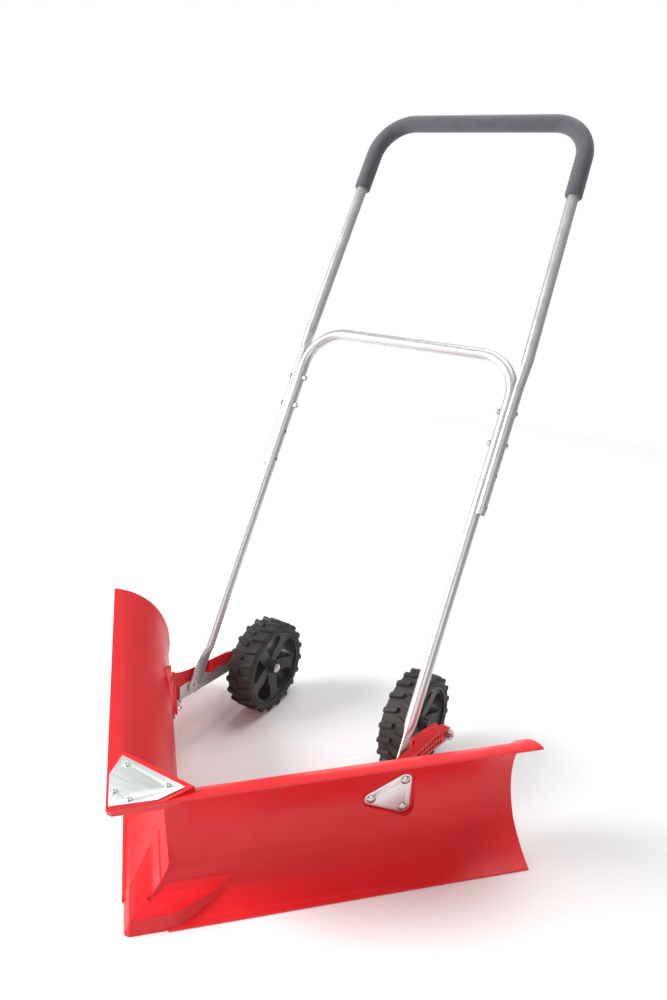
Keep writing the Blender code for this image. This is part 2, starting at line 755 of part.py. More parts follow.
def arm_pockets():
    """Two rows of slanted pockets that lighten the outer face."""
    tops = sorted((y, outer) for y, _, outer in ARM_TOP)
    lows = [*ARM_BOTTOM, (AXLE_Y, AXLE_Z - ARM_END)]
    outlines = []
    for column in range(ARM_POCKETS):
        y = POCKET_START + column * (POCKET_WIDTH + RIB)
        low = edge_height(lows, y) + RIB
        high = edge_height(tops, y + POCKET_WIDTH) - RIB
        middle = (low + high) / 2
        for base, cap in ((low, middle - RIB / 2), (middle + RIB / 2, high)):
            outlines.append([(y - POCKET_LEAN / 2, base), (y + POCKET_WIDTH - POCKET_LEAN / 2, base),
                             (y + POCKET_WIDTH, cap), (y, cap)])
    return outlines


def wheel_arm(side, label):
    """Moulded arm: foot on the wing, web, and a top that laps over the bar behind the handle."""
    place = side_point(side)
    arm = prism(f"wheel_arm_{label}", arm_web(), BAR_OUT + GAP, ARM_OUT, place, red_plastic())
    cover = over_bar([(LIP_NOSE[2][0] - 0.020, LIP_NOSE[2][1] + 0.004)], -2 * GAP)
    boolean(arm, prism("cover", cover, LIP_IN + 0.002, BAR_OUT + 2 * GAP, place), "UNION")
    boolean(arm, prism("lip", over_bar(LIP_NOSE, LIP_LAP), LIP_IN, BAR_IN - GAP, place), "UNION")
    boolean(arm, top_slope(side))
    for outline in arm_pockets():
        boolean(arm, prism("pocket", outline, ARM_OUT - POCKET_DEPTH, ARM_OUT + 0.01, place))
    point = foot_place(side)
    front = [(0.25, 0.0), (0.75, 0.0), (0.75, 0.30), (0.25, 0.30)]
    boolean(arm, prism("wing_side", front, BOSS_BACK - GAP, 0.1, point))
    for s, z in FOOT_BOLTS[1:]:
        drill(arm, point(s, z, FOOT_BACK - 0.009), foot_axis(side), NUT_RECESS, 0.025)
    foot = rounded_hull(hull_order(FOOT_BOLTS), FOOT_RADIUS)
    boolean(arm, prism("foot", foot, FOOT_BACK, BOSS_BACK - GAP, point), "UNION")
    for s, z in FOOT_BOLTS:
        drill(arm, point(s, z, FOOT_BACK), foot_axis(side), FOOT_BOLT[0] + GAP, 0.030)
    drill_arm_holes(arm, side)
    return arm


def pivot_fasteners(side, label):
    """Bolt that the handle swings on, and its nut."""
    seat = world(side * (TAB_A - TAB_THICKNESS / 2 - GAP), PIVOT_Y, PIVOT_Z)
    clamped = ARM_OUT + GAP - (TAB_A - TAB_THICKNESS / 2 - GAP)
    dome_bolt(f"pivot_bolt_{label}", seat, (-side, 0, 0), clamped, PIVOT_BOLT)
    hex_nut(f"pivot_nut_{label}", world(side * (ARM_OUT + GAP), PIVOT_Y, PIVOT_Z), (side, 0, 0),
            PIVOT_NUT)


# ---------------------------------------------------------------- wheels

def wheel_centre(side):
    return world(side * WHEEL_X, AXLE_Y, AXLE_Z)


def spoke_window(angle):
    """Pear-shaped gap between two spokes, wide at the rim and narrow at the hub."""
    reach = RIM_RADIUS - RIM_WALL
    half = math.radians(360 / SPOKES / 2)
    left = [(-0.10, 0.03), (-0.42, 0.38), (-0.66, 0.74), (-0.60, 0.93)]
    rim = [(-0.36, 1.0), (0.0, 1.015), (0.36, 1.0)]
    right = [(-t, share) for t, share in reversed(left)]
    inner = HUB_RADIUS + 0.003
    outline = []
    for t, share in left + rim + right:
        radius = inner + share * (reach - 0.003 - inner)
        turn = angle + t * half
        outline.append((radius * math.cos(turn), radius * math.sin(turn)))
    return outline


def wheel_rim(side, label):
    """Moulded rim with a hub, a dished web and five wedge-shaped spokes."""
    inner = RIM_RADIUS - RIM_WALL
    half = WHEEL_HALF - 0.001
    bore = AXLE_BOLT[0] + GAP
    profile = [(bore, -HUB_HALF), (HUB_RADIUS - 0.002, -HUB_HALF), (HUB_RADIUS, -HUB_WEB),
               (inner, -RIM_WEB), (inner, -half), (RIM_RADIUS, -half), (RIM_RADIUS, half),
               (inner, half), (inner, RIM_WEB), (HUB_RADIUS, HUB_WEB),
               (HUB_RADIUS - 0.002, HUB_HALF), (bore, HUB_HALF)]
    rim = ring_solid(f"wheel_rim_{label}", profile, wheel_centre(side), (side, 0, 0),
                     black_plastic(), steps=WHEEL_STEPS)
    for k in range(SPOKES):
        outline = spoke_window(math.radians(18 + 360 * k / SPOKES))
        boolean(rim, prism("window", outline, -0.04, 0.04, wheel_point(side)))
    return rim


def tread_lug(side, angle, row):
    """One slanted bar of the tread, from the middle of the tyre out to its shoulder."""
    base = WHEEL_RADIUS - TREAD_HEIGHT
    low, high = (0.0005, 0.0295) if row > 0 else (-0.0295, -0.0005)
    slant = math.radians(5)
    rings = []
    for radius, half in ((base - 0.002, 0.0062), (WHEEL_RADIUS, 0.0046)):
        ring = []
        for h, sign in ((low, -1), (low, 1), (high, 1), (high, -1)):
            skew = slant * (abs(h) / WHEEL_HALF)
            turn = angle + skew + sign * half / base
            ring.append((radius * math.cos(turn), radius * math.sin(turn), h))
        rings.append(ring)
    place = wheel_point(side)
    return skin("lug", [[place(*p) for p in ring] for ring in rings])


def wheel_tyre(side, label):
    """Tyre with two staggered rows of lugs."""
    base = WHEEL_RADIUS - TREAD_HEIGHT
    inner = RIM_RADIUS + GAP
    profile = [(inner, -0.0285), (inner + 0.004, -WHEEL_HALF), (base - 0.006, -WHEEL_HALF),
               (base, -0.025), (base, 0.025), (base - 0.006, WHEEL_HALF),
               (inner + 0.004, WHEEL_HALF), (inner, 0.0285)]
    tyre = ring_solid(f"wheel_tyre_{label}", profile, wheel_centre(side), (side, 0, 0),
                      black_rubber(), steps=WHEEL_STEPS)
    step = math.tau / LUGS
    for row, shift in ((1, 0.0), (-1, step / 2)):
        for k in range(LUGS):
            boolean(tyre, tread_lug(side, k * step + shift + math.radians(90), row), "UNION")
    return tyre


def axle_fasteners(side, label):
    """Axle bolt, the spacer between hub and bar, and the washer and nut outside."""
    face = WHEEL_X - HUB_HALF - GAP
    seat = world(side * face, AXLE_Y, AXLE_Z)
    out = (side, 0, 0)
    bore = AXLE_BOLT[0] + GAP
    radius, thickness = AXLE_WASHER
    rest = ARM_OUT + GAP
    nut_seat = rest + thickness + GAP
    dome_bolt(f"axle_bolt_{label}", seat, (-side, 0, 0), nut_seat - face, AXLE_BOLT)
    start = WHEEL_X + HUB_HALF + GAP
    length = BAR_IN - GAP - start
    spacer = [(bore, 0), (SPACER_RADIUS, 0), (SPACER_RADIUS, length), (bore, length)]
    ring_solid(f"axle_spacer_{label}", spacer, world(side * start, AXLE_Y, AXLE_Z), out, zinc())
    washer = [(bore, 0), (radius, 0), (radius, thickness), (bore, thickness)]
    ring_solid(f"axle_washer_{label}", washer, world(side * rest, AXLE_Y, AXLE_Z), out, zinc())
    hex_nut(f"axle_nut_{label}", world(side * nut_seat, AXLE_Y, AXLE_Z), out, AXLE_NUT)


# ---------------------------------------------------------------- handle

def round_ring(radius):
    return circle((0, 0), radius, steps=RING)


def flat_ring(half_thickness, half_width):
    """A pressed-flat section: wide and thin, with the same number of points as a circle."""
    ring = []
    for cosine, sine in circle((0, 0), 1.0, steps=RING):
        flat = math.copysign(abs(cosine) ** 0.3, cosine) if abs(cosine) > 1e-6 else 0.0
        ring.append((half_thickness * flat, half_width * sine))
    return ring


def crescent_ring(radius, nest, offset):
    """A tube pressed hollow on its inner side, so that it nests on the lower frame."""
    ring = []
    for p, c in circle((0, 0), radius, steps=RING):
        if p < 0:
            c = math.copysign(min(abs(c), 0.98 * horn_width(radius, nest, offset)), c)
        dent = math.sqrt(max(nest ** 2 - c ** 2, 0)) - offset
        ring.append((max(p, dent) if p > -radius * 0.45 else dent, c))
    return ring


def horn_width(radius, nest, offset):
    """Half the distance between the two horns of the crescent."""
    along = (nest ** 2 - radius ** 2 - offset ** 2) / (2 * offset)
    return math.sqrt(radius ** 2 - along ** 2)


def blend(first, second, share):
    return [(p0 + (p1 - p0) * share, c0 + (c1 - c0) * share)
            for (p0, c0), (p1, c1) in zip(first, second)]


def station_ring(centre, normal, ring, mirror):
    """Places a (p, c) ring: p along the in-plane normal, c in front of the handle."""
    points = []
    for p, c in ring:
        a = centre[0] + p * normal[0]
        b = centre[1] + p * normal[1]
        points.append(handle_point(mirror * a, b, c))
    return points


def u_stations(corner, leg, radius, steps=6):
    """Centres and outward normals around one bend, from the leg to the middle of the bar."""
    (corner_a, corner_b), (leg_a, leg_b) = corner, leg
    along = Vector((corner_a - leg_a, corner_b - leg_b)).normalized()
    turn = math.pi / 2 + math.asin(-along.x) * -1
    cut = radius * math.tan(turn / 2)
    start = Vector(corner) - along * cut
    inward = Vector((-along.y, along.x))
    centre = start + inward * radius
    stations = []
    for i in range(steps + 1):
        angle = turn * i / steps
        out = -inward * math.cos(angle) + along * math.sin(angle)
        stations.append((centre + out * radius, out))
    stations.append((Vector((0.0, corner_b)), Vector((0.0, 1.0))))
    return stations


def both_sides(stations):
    """Rings for the whole U: the right leg's stations, then the left's in reverse."""
    right = [[station_ring(c, n, ring, 1) for ring in rings] for c, n, rings in stations]
    left = [[station_ring(c, n, ring, -1) for ring in rings] for c, n, rings in stations]
    whole = right + left[-2::-1]
    return [pair[0] for pair in whole], [pair[1] for pair in whole]


def lower_frame():
    """Lower U: round tube whose ends are pressed into flat tabs for the pivot bolts."""
    round_pair = (round_ring(TUBE_RADIUS), round_ring(TUBE_RADIUS - TUBE_WALL))
    thick = TAB_THICKNESS / 2

    def tab(width):
        return (flat_ring(thick, width), flat_ring(0.0003, width - 0.0022))

    stations = []
    for b, width in ((TAB_END, 0.0080), (TAB_END + 0.003, 0.0120), (TAB_END + 0.008, 0.0145),
                     (TAB_END + 0.015, TAB_HALF), (0.048, TAB_HALF)):
        stations.append((Vector((TAB_A, b)), OUT, tab(width)))
    for b, share in ((0.060, 0.3), (0.074, 0.75), (0.086, 1.0)):
        pair = tuple(blend(f, r, share) for f, r in zip(tab(TAB_HALF), round_pair))
        centre = Vector((TAB_A + (LOWER_A - TAB_A) * share, b))
        stations.append((centre, OUT, pair))
    bend = u_stations((LOWER_A, LOWER_BAR), (LOWER_A, 0.0), BEND)
    stations += [(centre, normal, round_pair) for centre, normal in bend]
    frame = tube("lower_frame", *both_sides(stations), silver_paint())
    for side, _ in SIDES:
        drill(frame, handle_point(side * TAB_A, 0), (1, 0, 0), PIVOT_BOLT[0] + GAP, 0.03)
        for b in HANDLE_BOLTS + SPARE_HOLES:
            drill(frame, handle_point(side * LOWER_A, b), (1, 0, 0), HANDLE_BOLT[0] + GAP, 0.04, 8)
    return frame


def upper_stations(pairs):
    """Stations of the upper U from its crimped end to the middle of the bar."""
    crescent_pair, round_pair = pairs
    stations = []
    if crescent_pair:
        for b in (UPPER_END, CRIMP_B):
            stations.append((Vector((CRIMP_A, b)), OUT, crescent_pair))
        for share in (0.33, 0.67):
            pair = tuple(blend(f, r, share) for f, r in zip(crescent_pair, round_pair))
            a = CRIMP_A + (UPPER_LOW_A - CRIMP_A) * share
            b = CRIMP_B + (UPPER_LOW_B - CRIMP_B) * share
            stations.append((Vector((a, b)), OUT, pair))
        stations.append((Vector((UPPER_LOW_A, UPPER_LOW_B)), OUT, round_pair))
    bend = u_stations((UPPER_TOP_A, UPPER_BAR), (UPPER_LOW_A, UPPER_LOW_B), BEND)
    stations += [(centre, normal, round_pair) for centre, normal in bend]
    return stations


def upper_handle():
    """Upper U: round tube whose lower ends are crimped to nest on the lower frame."""
    nest = TUBE_RADIUS + GAP
    offset = CRIMP_A - LOWER_A
    crescent_pair = (crescent_ring(TUBE_RADIUS, nest, offset),
                     crescent_ring(TUBE_RADIUS - TUBE_WALL, nest + TUBE_WALL, offset))
    round_pair = (round_ring(TUBE_RADIUS), round_ring(TUBE_RADIUS - TUBE_WALL))
    stations = upper_stations((crescent_pair, round_pair))
    handle = tube("upper_handle", *both_sides(stations), silver_paint())
    for side, _ in SIDES:
        for b in HANDLE_BOLTS + SPARE_HOLES:
            drill(handle, handle_point(side * CRIMP_A, b), (1, 0, 0), HANDLE_BOLT[0] + GAP, 0.04, 8)
    return handle


def foam_grip():
    """Foam sleeve around the top of the upper U."""
    pair = (round_ring(GRIP_RADIUS), round_ring(TUBE_RADIUS + GAP))
    share = (GRIP_END - UPPER_LOW_B) / (UPPER_BAR - UPPER_LOW_B)
    end = Vector((UPPER_LOW_A + (UPPER_TOP_A - UPPER_LOW_A) * share, GRIP_END))
    bend = upper_stations((None, pair))
    stations = [(end, bend[0][1], pair)] + bend
    return tube("foam_grip", *both_sides(stations), grey_foam())


def handle_fasteners(side, label):
    """Bolts through the nested tubes, with their heads outside and their nuts inside."""
    outer = CRIMP_A + TUBE_RADIUS + GAP
    inner = LOWER_A - TUBE_RADIUS - GAP
    for number, b in enumerate(HANDLE_BOLTS, 1):
        bolt = dome_bolt(f"handle_bolt_{label}_{number}", handle_point(side * outer, b),
                         (side, 0, 0), outer - inner, HANDLE_BOLT)
        nut = hex_nut(f"handle_nut_{label}_{number}", handle_point(side * inner, b), (-side, 0, 0),
                      HANDLE_NUT)
        for piece in (bolt, nut):
            move_origin(piece, world(0, PIVOT_Y, PIVOT_Z))


# ---------------------------------------------------------------- assembly

def clear_scene():
    for item in list(bpy.data.objects):
        bpy.data.objects.remove(item)


def build():
    clear_scene()
    nose_cap()
    nose_screws()
    corner_plate()
    corner_screws()
    for side, label in SIDES:
        blade(side)
        mount_plate(side, label)
        foot_fasteners(side, label)
        wheel_arm(side, label)
        arm_bar(side, label)
        pivot_fasteners(side, label)
        axle_fasteners(side, label)
        for piece in (wheel_rim(side, label), wheel_tyre(side, label)):
            move_origin(piece, wheel_centre(side))
        handle_fasteners(side, label)
    for piece in (lower_frame(), upper_handle(), foam_grip()):
        move_origin(piece, world(0, PIVOT_Y, PIVOT_Z))


build()
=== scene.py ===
"""Looks of the wheeled snow shovel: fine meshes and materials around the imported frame.

Lengths along Y are first given as the distance behind the point of the blade's lip, as in the
design, and world() moves them into the row frame.
"""
import math

import bmesh
import bpy
from mathutils import Matrix, Vector

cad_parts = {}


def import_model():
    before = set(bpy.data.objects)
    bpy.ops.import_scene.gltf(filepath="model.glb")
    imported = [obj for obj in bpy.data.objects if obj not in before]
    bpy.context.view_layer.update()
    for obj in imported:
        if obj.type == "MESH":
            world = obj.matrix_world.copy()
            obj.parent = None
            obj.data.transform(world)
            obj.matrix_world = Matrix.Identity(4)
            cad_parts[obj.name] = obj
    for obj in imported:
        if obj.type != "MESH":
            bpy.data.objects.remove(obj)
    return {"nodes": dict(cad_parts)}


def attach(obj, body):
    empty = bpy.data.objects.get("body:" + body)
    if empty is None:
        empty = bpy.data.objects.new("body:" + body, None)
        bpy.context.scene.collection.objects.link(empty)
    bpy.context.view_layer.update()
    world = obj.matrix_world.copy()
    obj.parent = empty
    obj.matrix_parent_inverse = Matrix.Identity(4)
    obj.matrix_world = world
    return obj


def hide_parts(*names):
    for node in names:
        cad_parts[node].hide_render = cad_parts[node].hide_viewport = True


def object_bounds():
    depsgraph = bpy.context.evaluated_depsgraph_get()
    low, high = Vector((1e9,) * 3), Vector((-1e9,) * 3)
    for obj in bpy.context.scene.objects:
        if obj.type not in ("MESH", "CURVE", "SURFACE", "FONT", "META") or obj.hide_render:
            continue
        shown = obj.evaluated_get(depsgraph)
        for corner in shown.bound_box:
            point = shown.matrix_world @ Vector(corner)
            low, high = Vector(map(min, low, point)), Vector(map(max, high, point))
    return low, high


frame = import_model()
CAD_LOW, CAD_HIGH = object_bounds()

GAP = 0.0003
SIDES = ((1, "right"), (-1, "left"))
SHARP = math.radians(35)

# ---------------------------------------------------------------- sizes, as in the design

# Wings: an upper and a flatter lower arc that meet in a crease
WING_LENGTH = 0.684
WING_WALL = 0.004
LIP_Z = 0.256
SCRAPE_HEIGHT = 0.0025
ARC_U, ARC_Z = 0.0368, 0.1241
LIP_RADIUS = math.hypot(ARC_U, LIP_Z - ARC_Z)
WING_TOP = ARC_Z + math.sqrt((LIP_RADIUS + WING_WALL) ** 2 - ARC_U ** 2) + 0.0005
CREASE_Z = 0.0455
CREASE_U = ARC_U - math.sqrt(LIP_RADIUS ** 2 - (ARC_Z - CREASE_Z) ** 2)
LOW_RADIUS = 0.172
LOW_STEPS, HIGH_STEPS = 24, 66
END_RIB = 0.0045
RIB_START, RIB_FULL = 0.656, 0.668

# Corner, toe and nose cap
BLOCK_SKIRT = 0.015
BLOCK_LIP = 0.085
BLOCK_BACK = 0.108
BLOCK_HALF = 0.075
FACET_Y = 0.113
FACET_ANGLE = math.radians(22)
PROW_Z = 0.062
PROW_DROP, PROW_REACH = 0.036, 0.052
PROW_LOW = 0.0245
TOE_Y = 0.019
NOTCH_U, NOTCH_END, NOTCH_SLANT = -0.008, 0.088, 0.032
BAND_FOOT, BAND_LEAN = 0.003, 0.476
BAND_U, BAND_Z = 0.0124, 0.0216
CAP_SLOPE = 0.158
CAP_EDGE = 0.0006
CAP_BLEND = 0.003
CAP_TOP_U = -0.064
CAP_STEPS = 40
NOSE_Y = 0.0212
CAP_SIDE = (0.084, -0.0013, 0.0027)
CAP_SIDE_AXIS = (0.324, 0.805, 0.497)

# Pocket in the wing, (s, z), and the arm's feet
FOOT_BOLTS = ((0.427, 0.1145), (0.487, 0.1455), (0.484, 0.088))
FOOT_POCKET = ((0.426, 0.1165), (0.487, 0.1505), (0.486, 0.091))
POCKET_RADIUS = 0.017
POCKET_FLOOR = -0.1023
BOSS_WALL = 0.005
BOSS_BACK = POCKET_FLOOR - BOSS_WALL
BOSS_FRONT = -0.070
FOOT_BACK = BOSS_BACK - GAP - 0.006
PLATE_THICKNESS = 0.002
CORNER_SCREWS = ((0.0154, 0.0322), (0.0427, 0.0851))
NOSE_SCREWS = (0.070, 0.125)
NOSE_SCREW_ANGLE = math.radians(28.8)

# Arms and wheels
BAR_IN = 0.2405
ARM_OUT = 0.2565
AXLE_Y, AXLE_Z = 0.621, 0.100
WHEEL_X = 0.1836
WHEEL_RADIUS = AXLE_Z
WHEEL_HALF = 0.030
TREAD_HEIGHT = 0.006
RIM_RADIUS = 0.0795
RIM_WALL = 0.003
RIM_WEB = 0.0245
HUB_WEB = 0.0150
HUB_RADIUS = 0.014
HUB_HALF = 0.0305
LUGS = 20
SPOKES = 5
WHEEL_STEPS = 120

# Handle
PIVOT_Y, PIVOT_Z = 0.4546, 0.1248
LEAN = math.radians(34.05)
TUBE_RADIUS = 0.011
TUBE_WALL = 0.001
BEND = 0.080
LOWER_A = 0.2357
LOWER_BAR = 0.7895
TAB_A = 0.2377
TAB_HALF = 0.017
TAB_THICKNESS = 0.005
TAB_END = -0.020
UPPER_BAR = 1.291
UPPER_TOP_A = 0.2343
UPPER_LOW_A, UPPER_LOW_B = 0.2475, 0.785
CRIMP_A, CRIMP_B = 0.2445, 0.735
UPPER_END = 0.4815
HANDLE_BOLTS = (0.6805, 0.6175)
SPARE_HOLES = (0.5575, 0.4955)
GRIP_RADIUS = 0.0172
GRIP_END = 1.129
RING = 40
BEND_STEPS = 16

# Bolts: shank radius, head radius, head height, length beyond what they clamp, thread pitch.
# Nuts: thread radius, width across flats, height. Screws: shank radius, length, head radius.
FOOT_BOLT, FOOT_NUT = (0.003, 0.0085, 0.0042, 0.009, 0.0010), (0.003, 0.010, 0.005)
PIVOT_BOLT, PIVOT_NUT = (0.004, 0.0078, 0.0048, 0.0095, 0.00125), (0.004, 0.013, 0.0065)
AXLE_BOLT, AXLE_NUT = (0.005, 0.0100, 0.0055, 0.011, 0.0015), (0.005, 0.017, 0.008)
HANDLE_BOLT, HANDLE_NUT = (0.003, 0.0068, 0.0038, 0.008, 0.0010), (0.003, 0.010, 0.005)
CORNER_SCREW, NOSE_SCREW = (0.002, 0.0135, 0.0042), (0.0015, 0.0088, 0.0032)
AXLE_WASHER = (0.0105, 0.0016)

UP = Vector((0, math.sin(LEAN), math.cos(LEAN)))
FRONT = Vector((0, -math.cos(LEAN), math.sin(LEAN)))
OUT = Vector((1.0, 0.0))


# ---------------------------------------------------------------- camera, floor and light

FRAME_HEIGHT_MM = 36.0
LENS_MM = 30.75
FLOOR_RADIUS = 2.3


def add_camera():
    """The camera at the photograph's angle, given by its place, azimuth, pitch and roll."""
    place = Vector((0.7968, CAD_LOW.y - 0.6395, 1.1531))
    azimuth, pitch, roll = math.radians(32.6), math.radians(22.63), math.radians(0.45)
    back = Vector((math.sin(azimuth) * math.cos(pitch), -math.cos(azimuth) * math.cos(pitch),
                   math.sin(pitch)))
    right = Vector((math.cos(azimuth), math.sin(azimuth), 0))
    up = back.cross(right)
    turned_right = right * math.cos(roll) + up * math.sin(roll)
    turned_up = up * math.cos(roll) - right * math.sin(roll)
    data = bpy.data.cameras.new("camera")
    data.sensor_fit = "VERTICAL"
    data.sensor_height = FRAME_HEIGHT_MM
    data.lens = LENS_MM
    camera = bpy.data.objects.new("camera", data)
    bpy.context.scene.collection.objects.link(camera)
    turn = Matrix((turned_right, turned_up, back)).transposed().to_4x4()
    camera.matrix_world = Matrix.Translation(place) @ turn
    bpy.context.scene.camera = camera


def add_floor():
    """A plain pale floor under the object."""
    build = bmesh.new()
    bmesh.ops.create_circle(build, cap_ends=True, segments=128, radius=FLOOR_RADIUS)
    mesh = bpy.data.meshes.new("floor")
    build.to_mesh(mesh)
    build.free()
    floor = bpy.data.objects.new("floor", mesh)
    bpy.context.scene.collection.objects.link(floor)
    floor.location.z = CAD_LOW.z - 0.0005
    surface = bpy.data.materials.new("floor")
    surface.use_nodes = True
    shader = surface.node_tree.nodes["Principled BSDF"]
    shader.inputs["Base Color"].default_value = (0.93, 0.93, 0.93, 1)
    shader.inputs["Roughness"].default_value = 0.9
    shader.inputs["Specular IOR Level"].default_value = 0.1
    mesh.materials.append(surface)


def add_light(name, place, target, size, power):
    """A square soft box that faces the target."""
    data = bpy.data.lights.new(name, "AREA")
    data.shape = "SQUARE"
    data.size = size
    data.energy = power
    light = bpy.data.objects.new(name, data)
    bpy.context.scene.collection.objects.link(light)
    light.location = place
    light.rotation_euler = (Vector(target) - Vector(place)).to_track_quat("-Z", "Y").to_euler()


def add_lights():
    add_light("key", (-2.9, -2.2, 2.0), (0, 0, 0.3), 2.2, 270)
    add_light("top", (0.2, 1.4, 3.6), (0, 0, 0.3), 2.6, 82)
    add_light("fill", (2.6, -2.8, 2.0), (0, 0, 0.3), 2.4, 34)
    world = bpy.data.worlds.new("studio")
    world.use_nodes = True
    bpy.context.scene.world = world
    nodes, links = world.node_tree.nodes, world.node_tree.links
    background = nodes["Background"]
    background.inputs["Color"].default_value = (1, 1, 1, 1)
    path = nodes.new("ShaderNodeLightPath")
    strength = nodes.new("ShaderNodeMapRange")
    strength.inputs["To Min"].default_value = 0.30
    strength.inputs["To Max"].default_value = 1.0
    links.new(path.outputs["Is Camera Ray"], strength.inputs["Value"])
    links.new(strength.outputs["Result"], background.inputs["Strength"])
    bpy.context.scene.view_settings.view_transform = "Standard"


# ---------------------------------------------------------------- materials

def shader_nodes(name, colour, roughness, metallic=0.0, **sockets):
    """A material with its Principled shader, and its constant sockets set."""
    made = bpy.data.materials.new(name)
    made.use_nodes = True
    tree = made.node_tree
    shader = tree.nodes["Principled BSDF"]
    shader.inputs["Base Color"].default_value = (*colour, 1)
    shader.inputs["Roughness"].default_value = roughness
    shader.inputs["Metallic"].default_value = metallic
    for key, value in sockets.items():
        shader.inputs[key.replace("_", " ")].default_value = value
    return made, tree, shader


def noise(tree, scale, detail=3.0, stretch=(1, 1, 1), roughness=0.5):
    """Noise in the object's own metres; stretch divides the scale along each axis."""
    place = tree.nodes.new("ShaderNodeTexCoord")
    mapping = tree.nodes.new("ShaderNodeMapping")
    mapping.inputs["Scale"].default_value = [1 / s for s in stretch]
    texture = tree.nodes.new("ShaderNodeTexNoise")
    texture.inputs["Scale"].default_value = scale
    texture.inputs["Detail"].default_value = detail
    texture.inputs["Roughness"].default_value = roughness
    tree.links.new(place.outputs["Object"], mapping.inputs["Vector"])
    tree.links.new(mapping.outputs["Vector"], texture.inputs["Vector"])
    return texture.outputs["Fac"]


def remap(tree, value, low, high, to_low, to_high):
    node = tree.nodes.new("ShaderNodeMapRange")
    for key, number in (("From Min", low), ("From Max", high), ("To Min", to_low),
                        ("To Max", to_high)):
        node.inputs[key].default_value = number
    tree.links.new(value, node.inputs["Value"])
    return node.outputs["Result"]


def mix_colour(tree, share, first, second):
    """Blend of two colours; each is an RGB tuple or a socket."""
    node = tree.nodes.new("ShaderNodeMix")
    node.data_type = "RGBA"
    tree.links.new(share, node.inputs["Factor"])
    for key, colour in (("A", first), ("B", second)):
        socket = [s for s in node.inputs if s.name == key and s.type == "RGBA"][0]
        if isinstance(colour, tuple):
            socket.default_value = (*colour, 1)
        else:
            tree.links.new(colour, socket)
    return [s for s in node.outputs if s.type == "RGBA"][0]


def bump(tree, shader, height, strength, distance, below=None):
    node = tree.nodes.new("ShaderNodeBump")
    node.inputs["Strength"].default_value = strength
    node.inputs["Distance"].default_value = distance
    tree.links.new(height, node.inputs["Height"])
    if below is not None:
        tree.links.new(below, node.inputs["Normal"])
    tree.links.new(node.outputs["Normal"], shader.inputs["Normal"])
    return node.outputs["Normal"]


def tinted(colour, factor):
    return tuple(min(1.0, c * factor) for c in colour)


def red_plastic(name, grain):
    """Moulded polypropylene: slight mottling, a fine grain and faint handling scuffs."""
    base = (0.735, 0.0145, 0.0200)
    made, tree, shader = shader_nodes(name, base, 0.4, IOR=1.49, Specular_IOR_Level=0.5)
    mottle = remap(tree, noise(tree, 9.0, 4.0), 0.3, 0.7, 0.0, 1.0)
    body = mix_colour(tree, mottle, tinted(base, 0.95), tinted(base, 1.05))
    scuffs = remap(tree, noise(tree, 60.0, 5.0, (9, 9, 0.6)), 0.66, 0.80, 0.0, 0.25)
    tree.links.new(mix_colour(tree, scuffs, body, (0.80, 0.075, 0.075)),
                   shader.inputs["Base Color"])
    tree.links.new(remap(tree, noise(tree, 35.0, 5.0), 0.3, 0.7, 0.34, 0.47),
                   shader.inputs["Roughness"])
    wave = bump(tree, shader, noise(tree, 22.0, 2.0), 0.10, 0.002)
    bump(tree, shader, noise(tree, grain, 2.0), 0.10, 0.0004, wave)
    return made


def silver_paint():
    """Silver paint over steel tube: fine flakes and slight orange peel."""
    base = (0.60, 0.615, 0.62)
    made, tree, shader = shader_nodes("silver_paint", base, 0.36, 0.72)
    flakes = remap(tree, noise(tree, 2600.0, 1.0), 0.35, 0.65, 0.0, 1.0)
    tree.links.new(mix_colour(tree, flakes, tinted(base, 0.90), tinted(base, 1.08)),
                   shader.inputs["Base Color"])
    tree.links.new(remap(tree, noise(tree, 45.0, 4.0), 0.3, 0.7, 0.31, 0.42),
                   shader.inputs["Roughness"])
    bump(tree, shader, noise(tree, 420.0, 2.0), 0.07, 0.0004)
    return made


def sheet_steel():
    """Bright zinc-plated sheet with faint rolling marks."""
    base = (0.84, 0.86, 0.87)
    made, tree, shader = shader_nodes("sheet_steel", base, 0.42, 0.85)
    cloud = remap(tree, noise(tree, 40.0, 3.0), 0.3, 0.7, 0.0, 1.0)
    tree.links.new(mix_colour(tree, cloud, tinted(base, 0.98), tinted(base, 1.02)),
                   shader.inputs["Base Color"])
    tree.links.new(remap(tree, noise(tree, 160.0, 5.0, (6, 1, 1)), 0.3, 0.7, 0.42, 0.50),
                   shader.inputs["Roughness"])
    bump(tree, shader, noise(tree, 600.0, 3.0, (8, 1, 1)), 0.05, 0.0003)
    return made


def zinc():
    """Plated fasteners, slightly uneven in tone."""
    base = (0.62, 0.625, 0.61)
    made, tree, shader = shader_nodes("zinc", base, 0.3, 0.95)
    cloud = remap(tree, noise(tree, 260.0, 4.0), 0.3, 0.7, 0.0, 1.0)
    tree.links.new(mix_colour(tree, cloud, tinted(base, 0.85), tinted(base, 1.1)),
                   shader.inputs["Base Color"])
    tree.links.new(remap(tree, noise(tree, 420.0, 3.0), 0.3, 0.7, 0.22, 0.40),
                   shader.inputs["Roughness"])
    bump(tree, shader, noise(tree, 1500.0, 2.0), 0.08, 0.0002)
    return made


